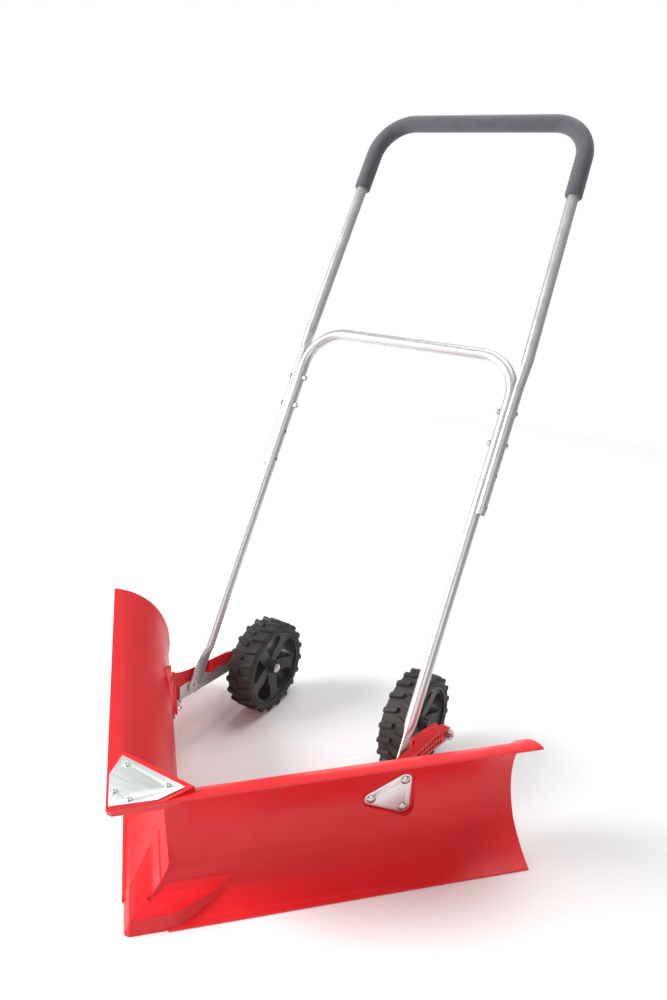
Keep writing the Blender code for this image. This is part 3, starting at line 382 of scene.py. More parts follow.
def foam():
    """Closed-cell foam sleeve: matt, with a soft sheen and small pores."""
    base = (0.060, 0.060, 0.068)
    made, tree, shader = shader_nodes("grip_foam", base, 0.8, Sheen_Weight=0.35,
                                      Sheen_Roughness=0.55)
    shader.inputs["Sheen Tint"].default_value = (0.80, 0.78, 0.90, 1)
    cloud = remap(tree, noise(tree, 55.0, 4.0), 0.3, 0.7, 0.0, 1.0)
    tree.links.new(mix_colour(tree, cloud, tinted(base, 0.82), tinted(base, 1.2)),
                   shader.inputs["Base Color"])
    cells = tree.nodes.new("ShaderNodeTexVoronoi")
    place = tree.nodes.new("ShaderNodeTexCoord")
    cells.inputs["Scale"].default_value = 900.0
    tree.links.new(place.outputs["Object"], cells.inputs["Vector"])
    wave = bump(tree, shader, noise(tree, 60.0, 3.0), 0.20, 0.001)
    bump(tree, shader, cells.outputs["Distance"], 0.35, 0.0004, wave)
    return made


def tyre_rubber():
    """Dull tread rubber with a little dust."""
    base = (0.030, 0.029, 0.028)
    made, tree, shader = shader_nodes("tyre_rubber", base, 0.68, Specular_IOR_Level=0.4)
    dust = remap(tree, noise(tree, 45.0, 6.0), 0.45, 0.75, 0.0, 0.5)
    tree.links.new(mix_colour(tree, dust, base, (0.075, 0.070, 0.064)),
                   shader.inputs["Base Color"])
    tree.links.new(remap(tree, noise(tree, 90.0, 4.0), 0.3, 0.7, 0.56, 0.78),
                   shader.inputs["Roughness"])
    bump(tree, shader, noise(tree, 700.0, 3.0), 0.25, 0.0005)
    return made


def rim_plastic():
    """Charcoal plastic with a low satin gloss."""
    base = (0.026, 0.026, 0.027)
    made, tree, shader = shader_nodes("rim_plastic", base, 0.42)
    cloud = remap(tree, noise(tree, 30.0, 4.0), 0.3, 0.7, 0.0, 1.0)
    tree.links.new(mix_colour(tree, cloud, tinted(base, 0.85), tinted(base, 1.3)),
                   shader.inputs["Base Color"])
    tree.links.new(remap(tree, noise(tree, 70.0, 5.0), 0.3, 0.7, 0.36, 0.52),
                   shader.inputs["Roughness"])
    bump(tree, shader, noise(tree, 500.0, 2.0), 0.12, 0.0004)
    return made


# ---------------------------------------------------------------- coordinates

def world(x, y, z):
    """A point given by its distance y behind the blade's point, in the row frame."""
    return Vector((x, y + CAD_LOW.y, z))


def wing_point(side):
    """Turns wing coordinates (s along, u forward, z up) into the row frame."""
    root = math.sqrt(0.5)
    return lambda s, u, z: world(side * root * (s + u), root * (s - u), z)


def foot_place(side):
    """Places (s, z) outlines at a depth u on the wing's back."""
    point = wing_point(side)
    return lambda s, z, u: point(s, u, z)


def side_plan(side):
    """Places (x, y) outlines at a height z, mirrored on the left."""
    return lambda x, y, z: world(side * x, y, z)


def handle_point(a, b, c=0.0):
    """A point of the handle: a across, b up along its plane, c in front of it."""
    return world(a, PIVOT_Y, PIVOT_Z) + b * UP + c * FRONT


def wheel_centre(side):
    return world(side * WHEEL_X, AXLE_Y, AXLE_Z)


def axle_turn(axis):
    return Vector(axis).to_track_quat("Z", "Y").to_matrix()


def along(origin, axis):
    """Places (x, y) outlines across an axis, at h along it."""
    turn = axle_turn(axis)
    return lambda x, y, h: Vector(origin) + turn @ Vector((x, y, h))


def circle(centre, radius, start=0.0, end=360.0, steps=24):
    """Points on an arc, without the last one when the arc is a full turn."""
    count = steps if abs(end - start) >= 360 else steps + 1
    angles = [math.radians(start + (end - start) * i / steps) for i in range(count)]
    return [(centre[0] + radius * math.cos(t), centre[1] + radius * math.sin(t)) for t in angles]


def rounded_hull(centres, radius, steps=10):
    """Outline of a rubber band around equal circles that are listed anticlockwise."""
    points = []
    count = len(centres)
    for i, centre in enumerate(centres):
        before = Vector(centre) - Vector(centres[i - 1])
        after = Vector(centres[(i + 1) % count]) - Vector(centre)
        start = math.degrees(math.atan2(before.y, before.x)) - 90
        turn = math.degrees(after.angle_signed(before)) % 360
        points += circle(centre, radius, start, start + turn, steps)
    return points


def lower_centre():
    """Centre (u, z) of the lower arc, which joins the bottom edge to the crease."""
    chord = Vector((CREASE_U, CREASE_Z - SCRAPE_HEIGHT))
    square = Vector((chord.y, -chord.x)).normalized()
    rise = math.sqrt(LOW_RADIUS ** 2 - chord.length_squared / 4)
    return chord.x / 2 + square.x * rise, SCRAPE_HEIGHT + chord.y / 2 + square.y * rise


LOW_U, LOW_Z = lower_centre()


def hull_order(points):
    return (points[0], points[2], points[1])


# ---------------------------------------------------------------- mesh tools

def shape(name, verts, faces):
    """A mesh object whose faces point out."""
    mesh = bpy.data.meshes.new(name)
    mesh.from_pydata([tuple(v) for v in verts], [], faces)
    build = bmesh.new()
    build.from_mesh(mesh)
    bmesh.ops.recalc_face_normals(build, faces=build.faces)
    build.to_mesh(mesh)
    build.free()
    made = bpy.data.objects.new(name, mesh)
    bpy.context.scene.collection.objects.link(made)
    return made


def ring_faces(rows, count, closed_rows):
    """Quads between neighbouring rows of a grid whose rows are closed rings."""
    faces = []
    for k in range(rows if closed_rows else rows - 1):
        n = (k + 1) % rows
        for i in range(count):
            j = (i + 1) % count
            faces.append((k * count + i, k * count + j, n * count + j, n * count + i))
    return faces


def skin(name, rings):
    """Equal rings joined in order, with a flat cap on the first and the last."""
    count = len(rings[0])
    verts = [v for ring in rings for v in ring]
    caps = [tuple(range(count)), tuple(range(len(verts) - count, len(verts)))]
    return shape(name, verts, caps + ring_faces(len(rings), count, False))


def prism(name, outline, low, high, place):
    """A flat outline, extruded from low to high."""
    return skin(name, [[place(*p, h) for p in outline] for h in (low, high)])


def tube(name, outer, inner):
    """A hollow tube with open ends, from its outer and inner rings along the path."""
    rings = outer + inner[::-1]
    verts = [v for ring in rings for v in ring]
    return shape(name, verts, ring_faces(len(rings), len(outer[0]), True))


def turned(name, profile, origin, axis, steps=36):
    """A turned solid: (radius, height) points that start and end on the axis."""
    place = along(origin, axis)
    verts = [place(0, 0, profile[0][1])]
    for radius, height in profile[1:-1]:
        verts += [place(x, y, height) for x, y in circle((0, 0), radius, steps=steps)]
    verts.append(place(0, 0, profile[-1][1]))
    last = len(verts) - 1
    faces = [(last, last - steps + i, last - steps + (i + 1) % steps) for i in range(steps)]
    faces += [(0, 1 + i, 1 + (i + 1) % steps) for i in range(steps)]
    for k in range(len(profile) - 3):
        for i in range(steps):
            j = (i + 1) % steps
            low, high = 1 + k * steps, 1 + (k + 1) * steps
            faces.append((low + i, low + j, high + j, high + i))
    return shape(name, verts, faces)


def ring_solid(name, profile, origin, axis, steps=WHEEL_STEPS):
    """A turned ring: a closed loop of (radius, height) points that stays off the axis."""
    place = along(origin, axis)
    verts = []
    for cosine, sine in circle((0, 0), 1.0, steps=steps):
        verts += [place(r * cosine, r * sine, h) for r, h in profile]
    return shape(name, verts, ring_faces(steps, len(profile), True))


def settle(piece):
    """Replace the object's mesh with what its modifiers make of it."""
    graph = bpy.context.evaluated_depsgraph_get()
    result = bpy.data.meshes.new_from_object(piece.evaluated_get(graph))
    if not result.polygons:
        raise RuntimeError(f"{piece.name}: its modifiers leave nothing")
    piece.modifiers.clear()
    piece.data = result


def boolean(target, other, operation="DIFFERENCE"):
    """Cut, join or intersect, and remove the other object."""
    step = target.modifiers.new(operation, "BOOLEAN")
    step.operation = operation
    step.solver = "EXACT"
    step.object = other
    settle(target)
    bpy.data.objects.remove(other)


def merged(name, parts):
    """Several closed bodies as one mesh, for one boolean."""
    build = bmesh.new()
    for part in parts:
        build.from_mesh(part.data)
        bpy.data.objects.remove(part)
    mesh = bpy.data.meshes.new(name)
    build.to_mesh(mesh)
    build.free()
    made = bpy.data.objects.new(name, mesh)
    bpy.context.scene.collection.objects.link(made)
    return made


def drill(target, centre, axis, radius, length, steps=28):
    half = length / 2
    profile = [(0, -half), (radius, -half), (radius, half), (0, half)]
    boolean(target, turned("drill", profile, centre, axis, steps))


def round_edges(piece, width, segments=3, angle=38):
    """Round the edges that turn by more than angle, in degrees."""
    build = bmesh.new()
    build.from_mesh(piece.data)
    bmesh.ops.remove_doubles(build, verts=build.verts, dist=1e-5)
    bmesh.ops.dissolve_limit(build, angle_limit=math.radians(0.2), verts=build.verts,
                             edges=build.edges)
    build.to_mesh(piece.data)
    build.free()
    step = piece.modifiers.new("edges", "BEVEL")
    step.width = width
    step.segments = segments
    step.limit_method = "ANGLE"
    step.angle_limit = math.radians(angle)
    settle(piece)


def fit(piece, slot, body, *nodes):
    """Finish a piece: smooth shading, its material, and the body and nodes it stands for."""
    mesh = piece.data
    mesh.shade_smooth()
    mesh.set_sharp_from_angle(angle=SHARP)
    mesh.materials.clear()
    mesh.polygons.foreach_set("material_index", [0] * len(mesh.polygons))
    mesh.materials.append(FINISH[slot])
    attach(piece, body)
    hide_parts(*nodes)


def refined(node, slot, width, segments=2):
    """A copy of a CAD node with its edges rounded."""
    piece = bpy.data.objects.new(f"{node}_fine", frame["nodes"][node].data.copy())
    bpy.context.scene.collection.objects.link(piece)
    round_edges(piece, width, segments)
    fit(piece, slot, "chassis", node)


# ---------------------------------------------------------------- fasteners

def dome(radius, height, steps=8):
    """Profile of a low dome, from its rim up to the axis."""
    ball = (radius ** 2 + height ** 2) / (2 * height)
    top = math.asin(min(1.0, radius / ball))
    points = [(ball * math.sin(top * (1 - i / steps)), ball * math.cos(top * (1 - i / steps)))
              for i in range(steps + 1)]
    return [(r, h - ball + height) for r, h in points]


def dome_bolt(node, seat, axis, clamped, size, body="chassis"):
    """A domed bolt with a threaded end: the head's underside is at seat."""
    radius, head_radius, head_height, beyond, pitch = size
    end = -(clamped + beyond)
    profile = [(0, end), (radius * 0.75, end), (radius * 0.8, end + pitch / 2)]
    turns = int((beyond + 0.004) / pitch)
    for k in range(turns):
        start = end + pitch * (k + 0.5)
        profile += [(radius * 0.86, start), (radius, start + pitch / 2)]
    rim = head_height * 0.3
    soft = head_radius - 0.0003
    profile += [(radius, 0), (soft, 0), (head_radius, 0.0003), (head_radius, rim * 0.7)]
    profile += [(r, rim + h) for r, h in dome(soft, head_height - rim)]
    fit(turned(f"{node}_fine", profile, seat, axis), "zinc_fastener", body, node)


def hex_nut(node, seat, axis, size, body="chassis"):
    """A hexagon nut with chamfered corners."""
    bore, across, height = size
    outline = circle((0, 0), across / math.sqrt(3), steps=6)
    nut = prism(f"{node}_fine", outline, 0, height, along(seat, axis))
    flat, corner = across * 0.48, across / math.sqrt(3) + 0.0002
    drop = (corner - flat) * 0.55
    cone = [(0, 0), (flat, 0), (corner, drop), (corner, height - drop), (flat, height),
            (0, height)]
    boolean(nut, turned("cone", cone, seat, axis, 48), "INTERSECT")
    drill(nut, Vector(seat) + Vector(axis).normalized() * height / 2, axis, bore + GAP, height * 2)
    fit(nut, "zinc_fastener", body, node)


def pan_screw(node, seat, axis, size):
    """A pan-head screw with a cross recess."""
    radius, length, head_radius = size
    height = 0.0027
    profile = [(0, -length), (radius * 0.3, -length + radius * 0.5), (radius, -length + radius * 2),
               (radius, 0), (head_radius, 0), (head_radius, height * 0.3)]
    profile += [(r, height * 0.3 + h) for r, h in dome(head_radius - 0.0001, height * 0.7)]
    screw = turned(f"{node}_fine", profile, seat, axis, 32)
    long, short = head_radius * 0.55, head_radius * 0.13
    cross = [(long, short), (short, short), (short, long), (-short, long), (-short, short),
             (-long, short), (-long, -short), (-short, -short), (-short, -long), (short, -long),
             (short, -short), (long, -short)]
    boolean(screw, prism("cross", cross, height * 0.45, height * 2, along(seat, axis)))
    fit(screw, "zinc_fastener", "chassis", node)


def foot_axis(side):
    return Vector((side, -1, 0)).normalized()


def nose_screw_place(side, s):
    """Seat and outward axis of a nose screw on the wing's back."""
    point = wing_point(side)
    reach = LOW_RADIUS + WING_WALL + GAP
    sine, cosine = math.sin(NOSE_SCREW_ANGLE), math.cos(NOSE_SCREW_ANGLE)
    seat = point(s, LOW_U - reach * sine, LOW_Z - reach * cosine)
    return seat, (point(0, -sine, -cosine) - point(0, 0, 0)).normalized()


def blade_fasteners(side, label):
    """Nose screws, corner screws and the three bolts of each arm."""
    for number, s in enumerate(NOSE_SCREWS, 1):
        pan_screw(f"nose_screw_{label}_{number}", *nose_screw_place(side, s), NOSE_SCREW)
    for number, (x, y) in enumerate(CORNER_SCREWS, 1):
        seat = world(side * x, y, WING_TOP + PLATE_THICKNESS + 2 * GAP)
        pan_screw(f"corner_screw_{label}_{number}", seat, (0, 0, 1), CORNER_SCREW)
    place = foot_place(side)
    seat = POCKET_FLOOR + PLATE_THICKNESS + 2 * GAP
    for number, (s, z) in enumerate(FOOT_BOLTS, 1):
        dome_bolt(f"carriage_bolt_{label}_{number}", place(s, z, seat), foot_axis(side),
                  seat - FOOT_BACK, FOOT_BOLT)
        hex_nut(f"carriage_nut_{label}_{number}", place(s, z, FOOT_BACK - GAP), -foot_axis(side),
                FOOT_NUT)


def arm_fasteners(side, label):
    """Pivot bolt, axle bolt, washer and nuts."""
    out, inward = (side, 0, 0), (-side, 0, 0)
    face = TAB_A - TAB_THICKNESS / 2 - GAP
    dome_bolt(f"pivot_bolt_{label}", world(side * face, PIVOT_Y, PIVOT_Z), inward,
              ARM_OUT + GAP - face, PIVOT_BOLT)
    hex_nut(f"pivot_nut_{label}", world(side * (ARM_OUT + GAP), PIVOT_Y, PIVOT_Z), out, PIVOT_NUT)
    face = WHEEL_X - HUB_HALF - GAP
    nut_seat = ARM_OUT + 2 * GAP + AXLE_WASHER[1]
    dome_bolt(f"axle_bolt_{label}", world(side * face, AXLE_Y, AXLE_Z), inward, nut_seat - face,
              AXLE_BOLT)
    hex_nut(f"axle_nut_{label}", world(side * nut_seat, AXLE_Y, AXLE_Z), out, AXLE_NUT)
    bore = AXLE_BOLT[0] + GAP
    radius, thickness = AXLE_WASHER
    rounded = 0.0003
    washer = [(bore, 0), (radius - rounded, 0), (radius, rounded), (radius, thickness - rounded),
              (radius - rounded, thickness), (bore, thickness)]
    piece = ring_solid(f"axle_washer_{label}_fine", washer,
                       world(side * (ARM_OUT + GAP), AXLE_Y, AXLE_Z), out, 48)
    fit(piece, "zinc_fastener", "chassis", f"axle_washer_{label}")
    start = WHEEL_X + HUB_HALF + GAP
    length = BAR_IN - GAP - start
    spacer = [(bore, 0), (0.0075, 0), (0.008, 0.0005), (0.008, length - 0.0005), (0.0075, length),
              (bore, length)]
    piece = ring_solid(f"axle_spacer_{label}_fine", spacer,
                       world(side * start, AXLE_Y, AXLE_Z), out, 48)
    fit(piece, "zinc_fastener", "chassis", f"axle_spacer_{label}")


def handle_fasteners(side, label):
    """Bolts through the nested tubes, with their heads outside and their nuts inside."""
    outer = CRIMP_A + TUBE_RADIUS + GAP
    inner = LOWER_A - TUBE_RADIUS - GAP
    for number, b in enumerate(HANDLE_BOLTS, 1):
        dome_bolt(f"handle_bolt_{label}_{number}", handle_point(side * outer, b), (side, 0, 0),
                  outer - inner, HANDLE_BOLT, "handle")
        hex_nut(f"handle_nut_{label}_{number}", handle_point(side * inner, b), (-side, 0, 0),
                HANDLE_NUT, "handle")


# ---------------------------------------------------------------- blade

def low_height(u, inset):
    """Height of the lower arc at a depth u; inset sinks it into the wall."""
    return LOW_Z - math.sqrt((LOW_RADIUS + inset) ** 2 - (LOW_U - u) ** 2)


def wall_depth(z, inset):
    """Depth u of the wing's front at a height z; inset sinks it into the wall."""
    if z > CREASE_Z:
        return ARC_U - math.sqrt((LIP_RADIUS + inset) ** 2 - (z - ARC_Z) ** 2)
    return LOW_U - math.sqrt((LOW_RADIUS + inset) ** 2 - (LOW_Z - z) ** 2)


def arc_angle(centre, point):
    return math.degrees(math.atan2(point[1] - centre[1], point[0] - centre[0])) % 360


def wing_section(rib=0.0):
    """Closed (u, z) outline of the wall: front up from the bottom edge, lip, back, underside."""
    low, high, crease = (LOW_U, LOW_Z), (ARC_U, ARC_Z), (CREASE_U, CREASE_Z)
    foot = arc_angle(low, (0, SCRAPE_HEIGHT))
    rise = circle(low, LOW_RADIUS, foot, arc_angle(low, crease), LOW_STEPS)[:-1]
    tip = arc_angle(high, (0, LIP_Z))
    rise += circle(high, LIP_RADIUS, arc_angle(high, crease), tip, HIGH_STEPS)
    start, end = arc_angle(high, (0, WING_TOP)), arc_angle(high, crease)
    fall = []
    for i in range(HIGH_STEPS + 1):
        angle = start + (end - start) * i / HIGH_STEPS
        ramp = min(1.0, 3 * i / HIGH_STEPS)
        fall += circle(high, LIP_RADIUS + WING_WALL + rib * ramp, angle, angle + 1, 1)[:1]
    outer = LOW_RADIUS + WING_WALL + rib
    ground = 180 + math.degrees(math.asin(LOW_Z / outer))
    fall += circle(low, outer, arc_angle(low, crease), ground, LOW_STEPS)
    return rise + fall + [(0.0, 0.0)]


def wing_wall(side):
    """The wall with the rib at its end, left long at the corner; trim_corner() mitres it."""
    place = wing_point(side)
    rings = [[place(-u - 0.010, u, z) for u, z in wing_section()]]
    for s, rib in ((RIB_START, 0.0), (RIB_FULL, END_RIB), (WING_LENGTH, END_RIB)):
        rings.append([place(s, u, z) for u, z in wing_section(rib)])
    return skin("wing", rings)


def prow_line(z):
    """Distance y of the corner's edge at a height z."""
    drop = max(PROW_Z - z, 0.0) / PROW_DROP
    return FACET_Y - PROW_REACH * drop ** 1.7


def corner_facet(side, gap=0.0):
    """Fill that turns the inner corner into upright facets, one outline at each height."""
    root = math.sqrt(0.5)
    top = ARC_Z + 1.01 * math.sqrt(LIP_RADIUS ** 2 - (ARC_U + FACET_Y * root) ** 2)
    slope = math.tan(FACET_ANGLE)
    steps = 56
    rings = []
    for i in range(steps + 1):
        z = PROW_LOW + (top - PROW_LOW) * (1 - math.cos(math.pi * i / steps)) / 2
        front = prow_line(z) - 2 * gap
        seam = max(-2 * wall_depth(z, WING_WALL / 2) * root, front + 0.001)
        meet = (seam - front) / (1 - slope)
        rings.append([world(-side * 0.004, front, z), world(0, front, z),
                      world(side * meet * slope, front + meet, z), world(-side * 0.004, seam, z)])
    if gap > 0:
        rings.insert(0, [v - Vector((0, 0, gap)) for v in rings[0]])
    return skin("facet", rings)


def corner_block(side):
    """The flat block on top of the corner, with a blunted apex."""
    root = math.sqrt(0.5)
    tip = 0.0004
    blunt = 0.005
    lip = (BLOCK_LIP * root, BLOCK_LIP * root + tip)
    outline = [(-0.004, blunt), (blunt - tip, blunt), lip, (BLOCK_HALF, BLOCK_BACK),
               (-0.004, BLOCK_BACK)]
    return prism("block", outline, WING_TOP - BLOCK_SKIRT, WING_TOP, side_plan(side))


def toe_plan(gap):
    """Plan of the toe and of the notches beside it, where the cap takes the wings' place."""
    root = math.sqrt(0.5)
    y, u = TOE_Y - gap, NOTCH_U + gap
    end = NOTCH_END - 4 * gap
    corners = [(end, u), (end - NOTCH_SLANT, -NOTCH_U)]
    half = [(y + 2 * root * u, y)] + [(root * (s + d), root * (s - d)) for s, d in corners]
    half.append((half[-1][0], -0.020))
    return half + [(-x, y) for x, y in reversed(half)]


def trim_corner(wing, side):
    """Mitre the wing on the middle plane and cut its bottom edge off at the toe."""
    place = side_plan(side)
    beyond = [(-0.1, -0.1), (GAP / 2, -0.1), (GAP / 2, 0.3), (-0.1, 0.3)]
    boolean(wing, prism("beyond", beyond, -0.1, 0.4, place))
    boolean(wing, prism("toe", toe_plan(0.0), -0.1, 0.060, place))


def pocket_boss(side):
    """Box that stands out of the wing's back around the pocket, and ends inside the wall."""
    outline = rounded_hull(hull_order(FOOT_POCKET), POCKET_RADIUS + BOSS_WALL)
    boss = prism("boss", outline, BOSS_BACK, BOSS_FRONT, foot_place(side))
    place = wing_point(side)
    section = circle((ARC_U, ARC_Z), LIP_RADIUS + WING_WALL / 2, steps=2 * HIGH_STEPS)
    hollow = [[place(s, u, z) for u, z in section] for s in (0.0, WING_LENGTH)]
    boolean(boss, skin("hollow", hollow))
    return boss


def blade(side, label):
    """One wing with its half of the corner and the pocket of the mount plate."""
    wing = wing_wall(side)
    wing.name = f"{label}_blade_fine"
    boolean(wing, corner_facet(side), "UNION")
    boolean(wing, corner_block(side), "UNION")
    trim_corner(wing, side)
    boolean(wing, pocket_boss(side), "UNION")
    pocket = rounded_hull(hull_order(FOOT_POCKET), POCKET_RADIUS)
    boolean(wing, prism("pocket", pocket, POCKET_FLOOR, BOSS_FRONT, foot_place(side)))
    round_edges(wing, 0.0009)
    fit(wing, "blade_plastic", "chassis", f"{label}_blade")


def cap_section():
    """Closed (u, z) outline of the nose cap: upright front, top that runs out, underside."""
    sink = -GAP
    outline = [(BAND_FOOT, 0.0)]
    for i in range(CAP_STEPS + 1):
        u = BAND_FOOT + (CAP_TOP_U - BAND_FOOT) * i / CAP_STEPS
        edge = low_height(u, sink) + CAP_EDGE
        rise = BAND_Z - CAP_SLOPE * (u + BAND_U) - edge
        outline.append((u, edge + (rise + math.hypot(rise, CAP_BLEND)) / 2))
    for i in range(CAP_STEPS + 1):
        u = CAP_TOP_U + (GAP - CAP_TOP_U) * i / CAP_STEPS
        outline.append((u, low_height(u, sink)))
    return outline + [(GAP, 0.0)]


def prow_form():
    """Leaning front band with a rounded nose, open to the rear: what the cap stays inside."""
    root, reach = math.sqrt(0.5), 0.2
    rings = []
    for z in (-0.001, 0.004, BAND_Z / 2, 0.016, 0.020, 0.0245, 0.032, 0.050):
        front = -BAND_FOOT - BAND_LEAN * z
        radius = max(NOSE_Y * root + front, 0.0003)
        ring = circle((0.0, (radius - front) / root), radius, 225, 315, 30)
        (left, back), (right, _) = ring[0], ring[-1]
        ring += [(right + reach, back + reach), (left - reach, back + reach)]
        rings.append([world(x, y, z) for x, y in ring])
    return skin("form", rings)


def beyond_cap_side(side):
    """Everything outside the slanted side of the cap."""
    point = wing_point(side)
    axis = point(*CAP_SIDE_AXIS) - point(0, 0, 0)
    place, reach = along(point(*CAP_SIDE), axis), 0.3
    square = [(-reach, -reach), (reach, -reach), (reach, reach), (-reach, reach)]
    return prism("side", square, 0.0, reach, place)


def nose_cap():
    """One piece that wraps the bottom corner of both wings."""
    halves = []
    for side, _ in SIDES:
        place = wing_point(side)
        near = [place(-u, u, z) for u, z in cap_section()]
        far = [place(0.26, u, z) for u, z in cap_section()]
        halves.append(skin("nose_cap_fine", [near, far]))
    cap, other = halves
    boolean(cap, other, "UNION")
    boolean(cap, prism("toe", toe_plan(GAP), 0.0, BAND_Z / 2, world), "UNION")
    boolean(cap, prow_form(), "INTERSECT")
    for side, _ in SIDES:
        boolean(cap, beyond_cap_side(side))
        boolean(cap, corner_facet(side, GAP))
    round_edges(cap, 0.0008, 3, 24)
    fit(cap, "blade_plastic", "chassis", "nose_cap")


# ---------------------------------------------------------------- wheels

def spoke_window(angle):
    """Pear-shaped gap between two spokes, smoothed through its outline points."""
    reach = RIM_RADIUS - RIM_WALL
    half = math.radians(360 / SPOKES / 2)
    left = [(-0.10, 0.03), (-0.42, 0.38), (-0.66, 0.74), (-0.60, 0.93)]
    rim = [(-0.36, 1.0), (0.0, 1.015), (0.36, 1.0)]
    knots = left + rim + [(-t, share) for t, share in reversed(left)]
    inner = HUB_RADIUS + 0.003
    points = []
    for t, share in knots:
        radius = inner + share * (reach - 0.003 - inner)
        turn = angle + t * half
        points.append(Vector((radius * math.cos(turn), radius * math.sin(turn))))
    return closed_spline(points, 5)


def closed_spline(points, steps):
    """Catmull-Rom curve through a closed list of 2-D points."""
    curve = []
    count = len(points)
    for i in range(count):
        a, b, c, d = (points[(i + k) % count] for k in (-1, 0, 1, 2))
        for k in range(steps):
            t = k / steps
            curve.append(0.5 * (2 * b + (c - a) * t + (2 * a - 5 * b + 4 * c - d) * t ** 2
                                + (3 * b - a - 3 * c + d) * t ** 3))
    return [tuple(p) for p in curve]


def wheel_rim(side, label):
    """Rim with a dished web, five wedge-shaped spokes and a protruding hub."""
    inner = RIM_RADIUS - RIM_WALL
    half = WHEEL_HALF - 0.001
    bore = AXLE_BOLT[0] + GAP
    web = [(inner, RIM_WEB), (inner - 0.006, RIM_WEB - 0.0010), (0.045, 0.0205), (0.026, 0.0165),
           (HUB_RADIUS + 0.003, HUB_WEB), (HUB_RADIUS, HUB_WEB + 0.002),
           (HUB_RADIUS - 0.002, HUB_HALF)]
    profile = [(bore, -HUB_HALF), *[(r, -h) for r, h in reversed(web)], (inner, -half),
               (RIM_RADIUS, -half), (RIM_RADIUS, half), (inner, half), *web, (bore, HUB_HALF)]
    rim = ring_solid(f"wheel_rim_{label}_fine", profile, wheel_centre(side), (side, 0, 0))
    place = along(wheel_centre(side), (side, 0, 0))
    turns = [math.radians(18 + 360 * k / SPOKES) for k in range(SPOKES)]
    windows = [prism("window", spoke_window(turn), -0.04, 0.04, place) for turn in turns]
    boolean(rim, merged("windows", windows))
    round_edges(rim, 0.0011, 3, 32)
    fit(rim, "rim_plastic", f"{label}_wheel", f"wheel_rim_{label}")


def tread_lug(side, angle, row):
    """One slanted bar of the tread with rounded edges and ends."""
    base = WHEEL_RADIUS - TREAD_HEIGHT
    middle = row * 0.0152
    slant = math.radians(5)
    rings = []
    for radius, length, width in ((base - 0.002, 0.0146, 0.0060),
                                  (base + 0.0030, 0.0143, 0.0054),
                                  (WHEEL_RADIUS - 0.0010, 0.0137, 0.0046),
                                  (WHEEL_RADIUS, 0.0127, 0.0034)):
        ring = []
        corner = min(width, length) * 0.55
        for cx, cy, start in ((1, 1, 0), (-1, 1, 90), (-1, -1, 180), (1, -1, 270)):
            centre = (cx * (length - corner), cy * (width - corner))
            for h, w in circle(centre, corner, start, start + 90, 4):
                place = middle + h
                turn = angle + slant * abs(place) / WHEEL_HALF + w / base
                ring.append((radius * math.cos(turn), radius * math.sin(turn), place))
        rings.append(ring)
    put = along(wheel_centre(side), (side, 0, 0))
    return skin("lug", [[put(*p) for p in ring] for ring in rings])


def wheel_tyre(side, label):
    """Tyre with two staggered rows of lugs."""
    base = WHEEL_RADIUS - TREAD_HEIGHT
    inner = RIM_RADIUS + GAP
    shoulder = 0.006
    high = circle((base - shoulder, WHEEL_HALF - shoulder), shoulder, 0, 90, 6)
    bead = circle((inner + 0.003, WHEEL_HALF - 0.003), 0.003, 90, 180, 4)
    half = high + bead
    profile = half + [(r, -h) for r, h in reversed(half)]
    tyre = ring_solid(f"wheel_tyre_{label}_fine", profile, wheel_centre(side), (side, 0, 0))
    step = math.tau / LUGS
    lugs = []
    for row, shift in ((1, 0.0), (-1, step / 2)):
        lugs += [tread_lug(side, k * step + shift + math.radians(90), row) for k in range(LUGS)]
    boolean(tyre, merged("lugs", lugs), "UNION")
    fit(tyre, "tyre_rubber", f"{label}_wheel", f"wheel_tyre_{label}")


# ---------------------------------------------------------------- handle

def round_ring(radius):
    return circle((0, 0), radius, steps=RING)


def flat_ring(half_thickness, half_width):
    """A pressed-flat section: wide and thin, with the same number of points as a circle."""
    ring = []
    for cosine, sine in circle((0, 0), 1.0, steps=RING):
        flat = math.copysign(abs(cosine) ** 0.3, cosine) if abs(cosine) > 1e-6 else 0.0
        ring.append((half_thickness * flat, half_width * sine))
    return ring


def crescent_ring(radius, nest, offset):
    """A tube pressed hollow on its inner side, so that it nests on the lower frame."""
    reach = (nest ** 2 - radius ** 2 - offset ** 2) / (2 * offset)
    horn = math.sqrt(radius ** 2 - reach ** 2)
    ring = []
    for p, c in circle((0, 0), radius, steps=RING):
        if p < 0:
            c = math.copysign(min(abs(c), 0.98 * horn), c)
        dent = math.sqrt(max(nest ** 2 - c ** 2, 0)) - offset
        ring.append((max(p, dent) if p > -radius * 0.45 else dent, c))
    return ring


def blend(first, second, share):
    return [(p0 + (p1 - p0) * share, c0 + (c1 - c0) * share)
            for (p0, c0), (p1, c1) in zip(first, second)]


def station_ring(centre, normal, ring, mirror):
    """Places a (p, c) ring: p along the in-plane normal, c in front of the handle."""
    return [handle_point(mirror * (centre[0] + p * normal[0]), centre[1] + p * normal[1], c)
            for p, c in ring]


def u_stations(corner, leg, radius):
    """Centres and outward normals around one bend, from the leg to the middle of the bar."""
    along_leg = Vector((corner[0] - leg[0], corner[1] - leg[1])).normalized()
    turn = math.pi / 2 - math.asin(-along_leg.x)
    start = Vector(corner) - along_leg * radius * math.tan(turn / 2)
    inward = Vector((-along_leg.y, along_leg.x))
    centre = start + inward * radius
    stations = []
    for i in range(BEND_STEPS + 1):
        angle = turn * i / BEND_STEPS
        out = -inward * math.cos(angle) + along_leg * math.sin(angle)
        stations.append((centre + out * radius, out))
    stations.append((Vector((0.0, corner[1])), Vector((0.0, 1.0))))
    return stations


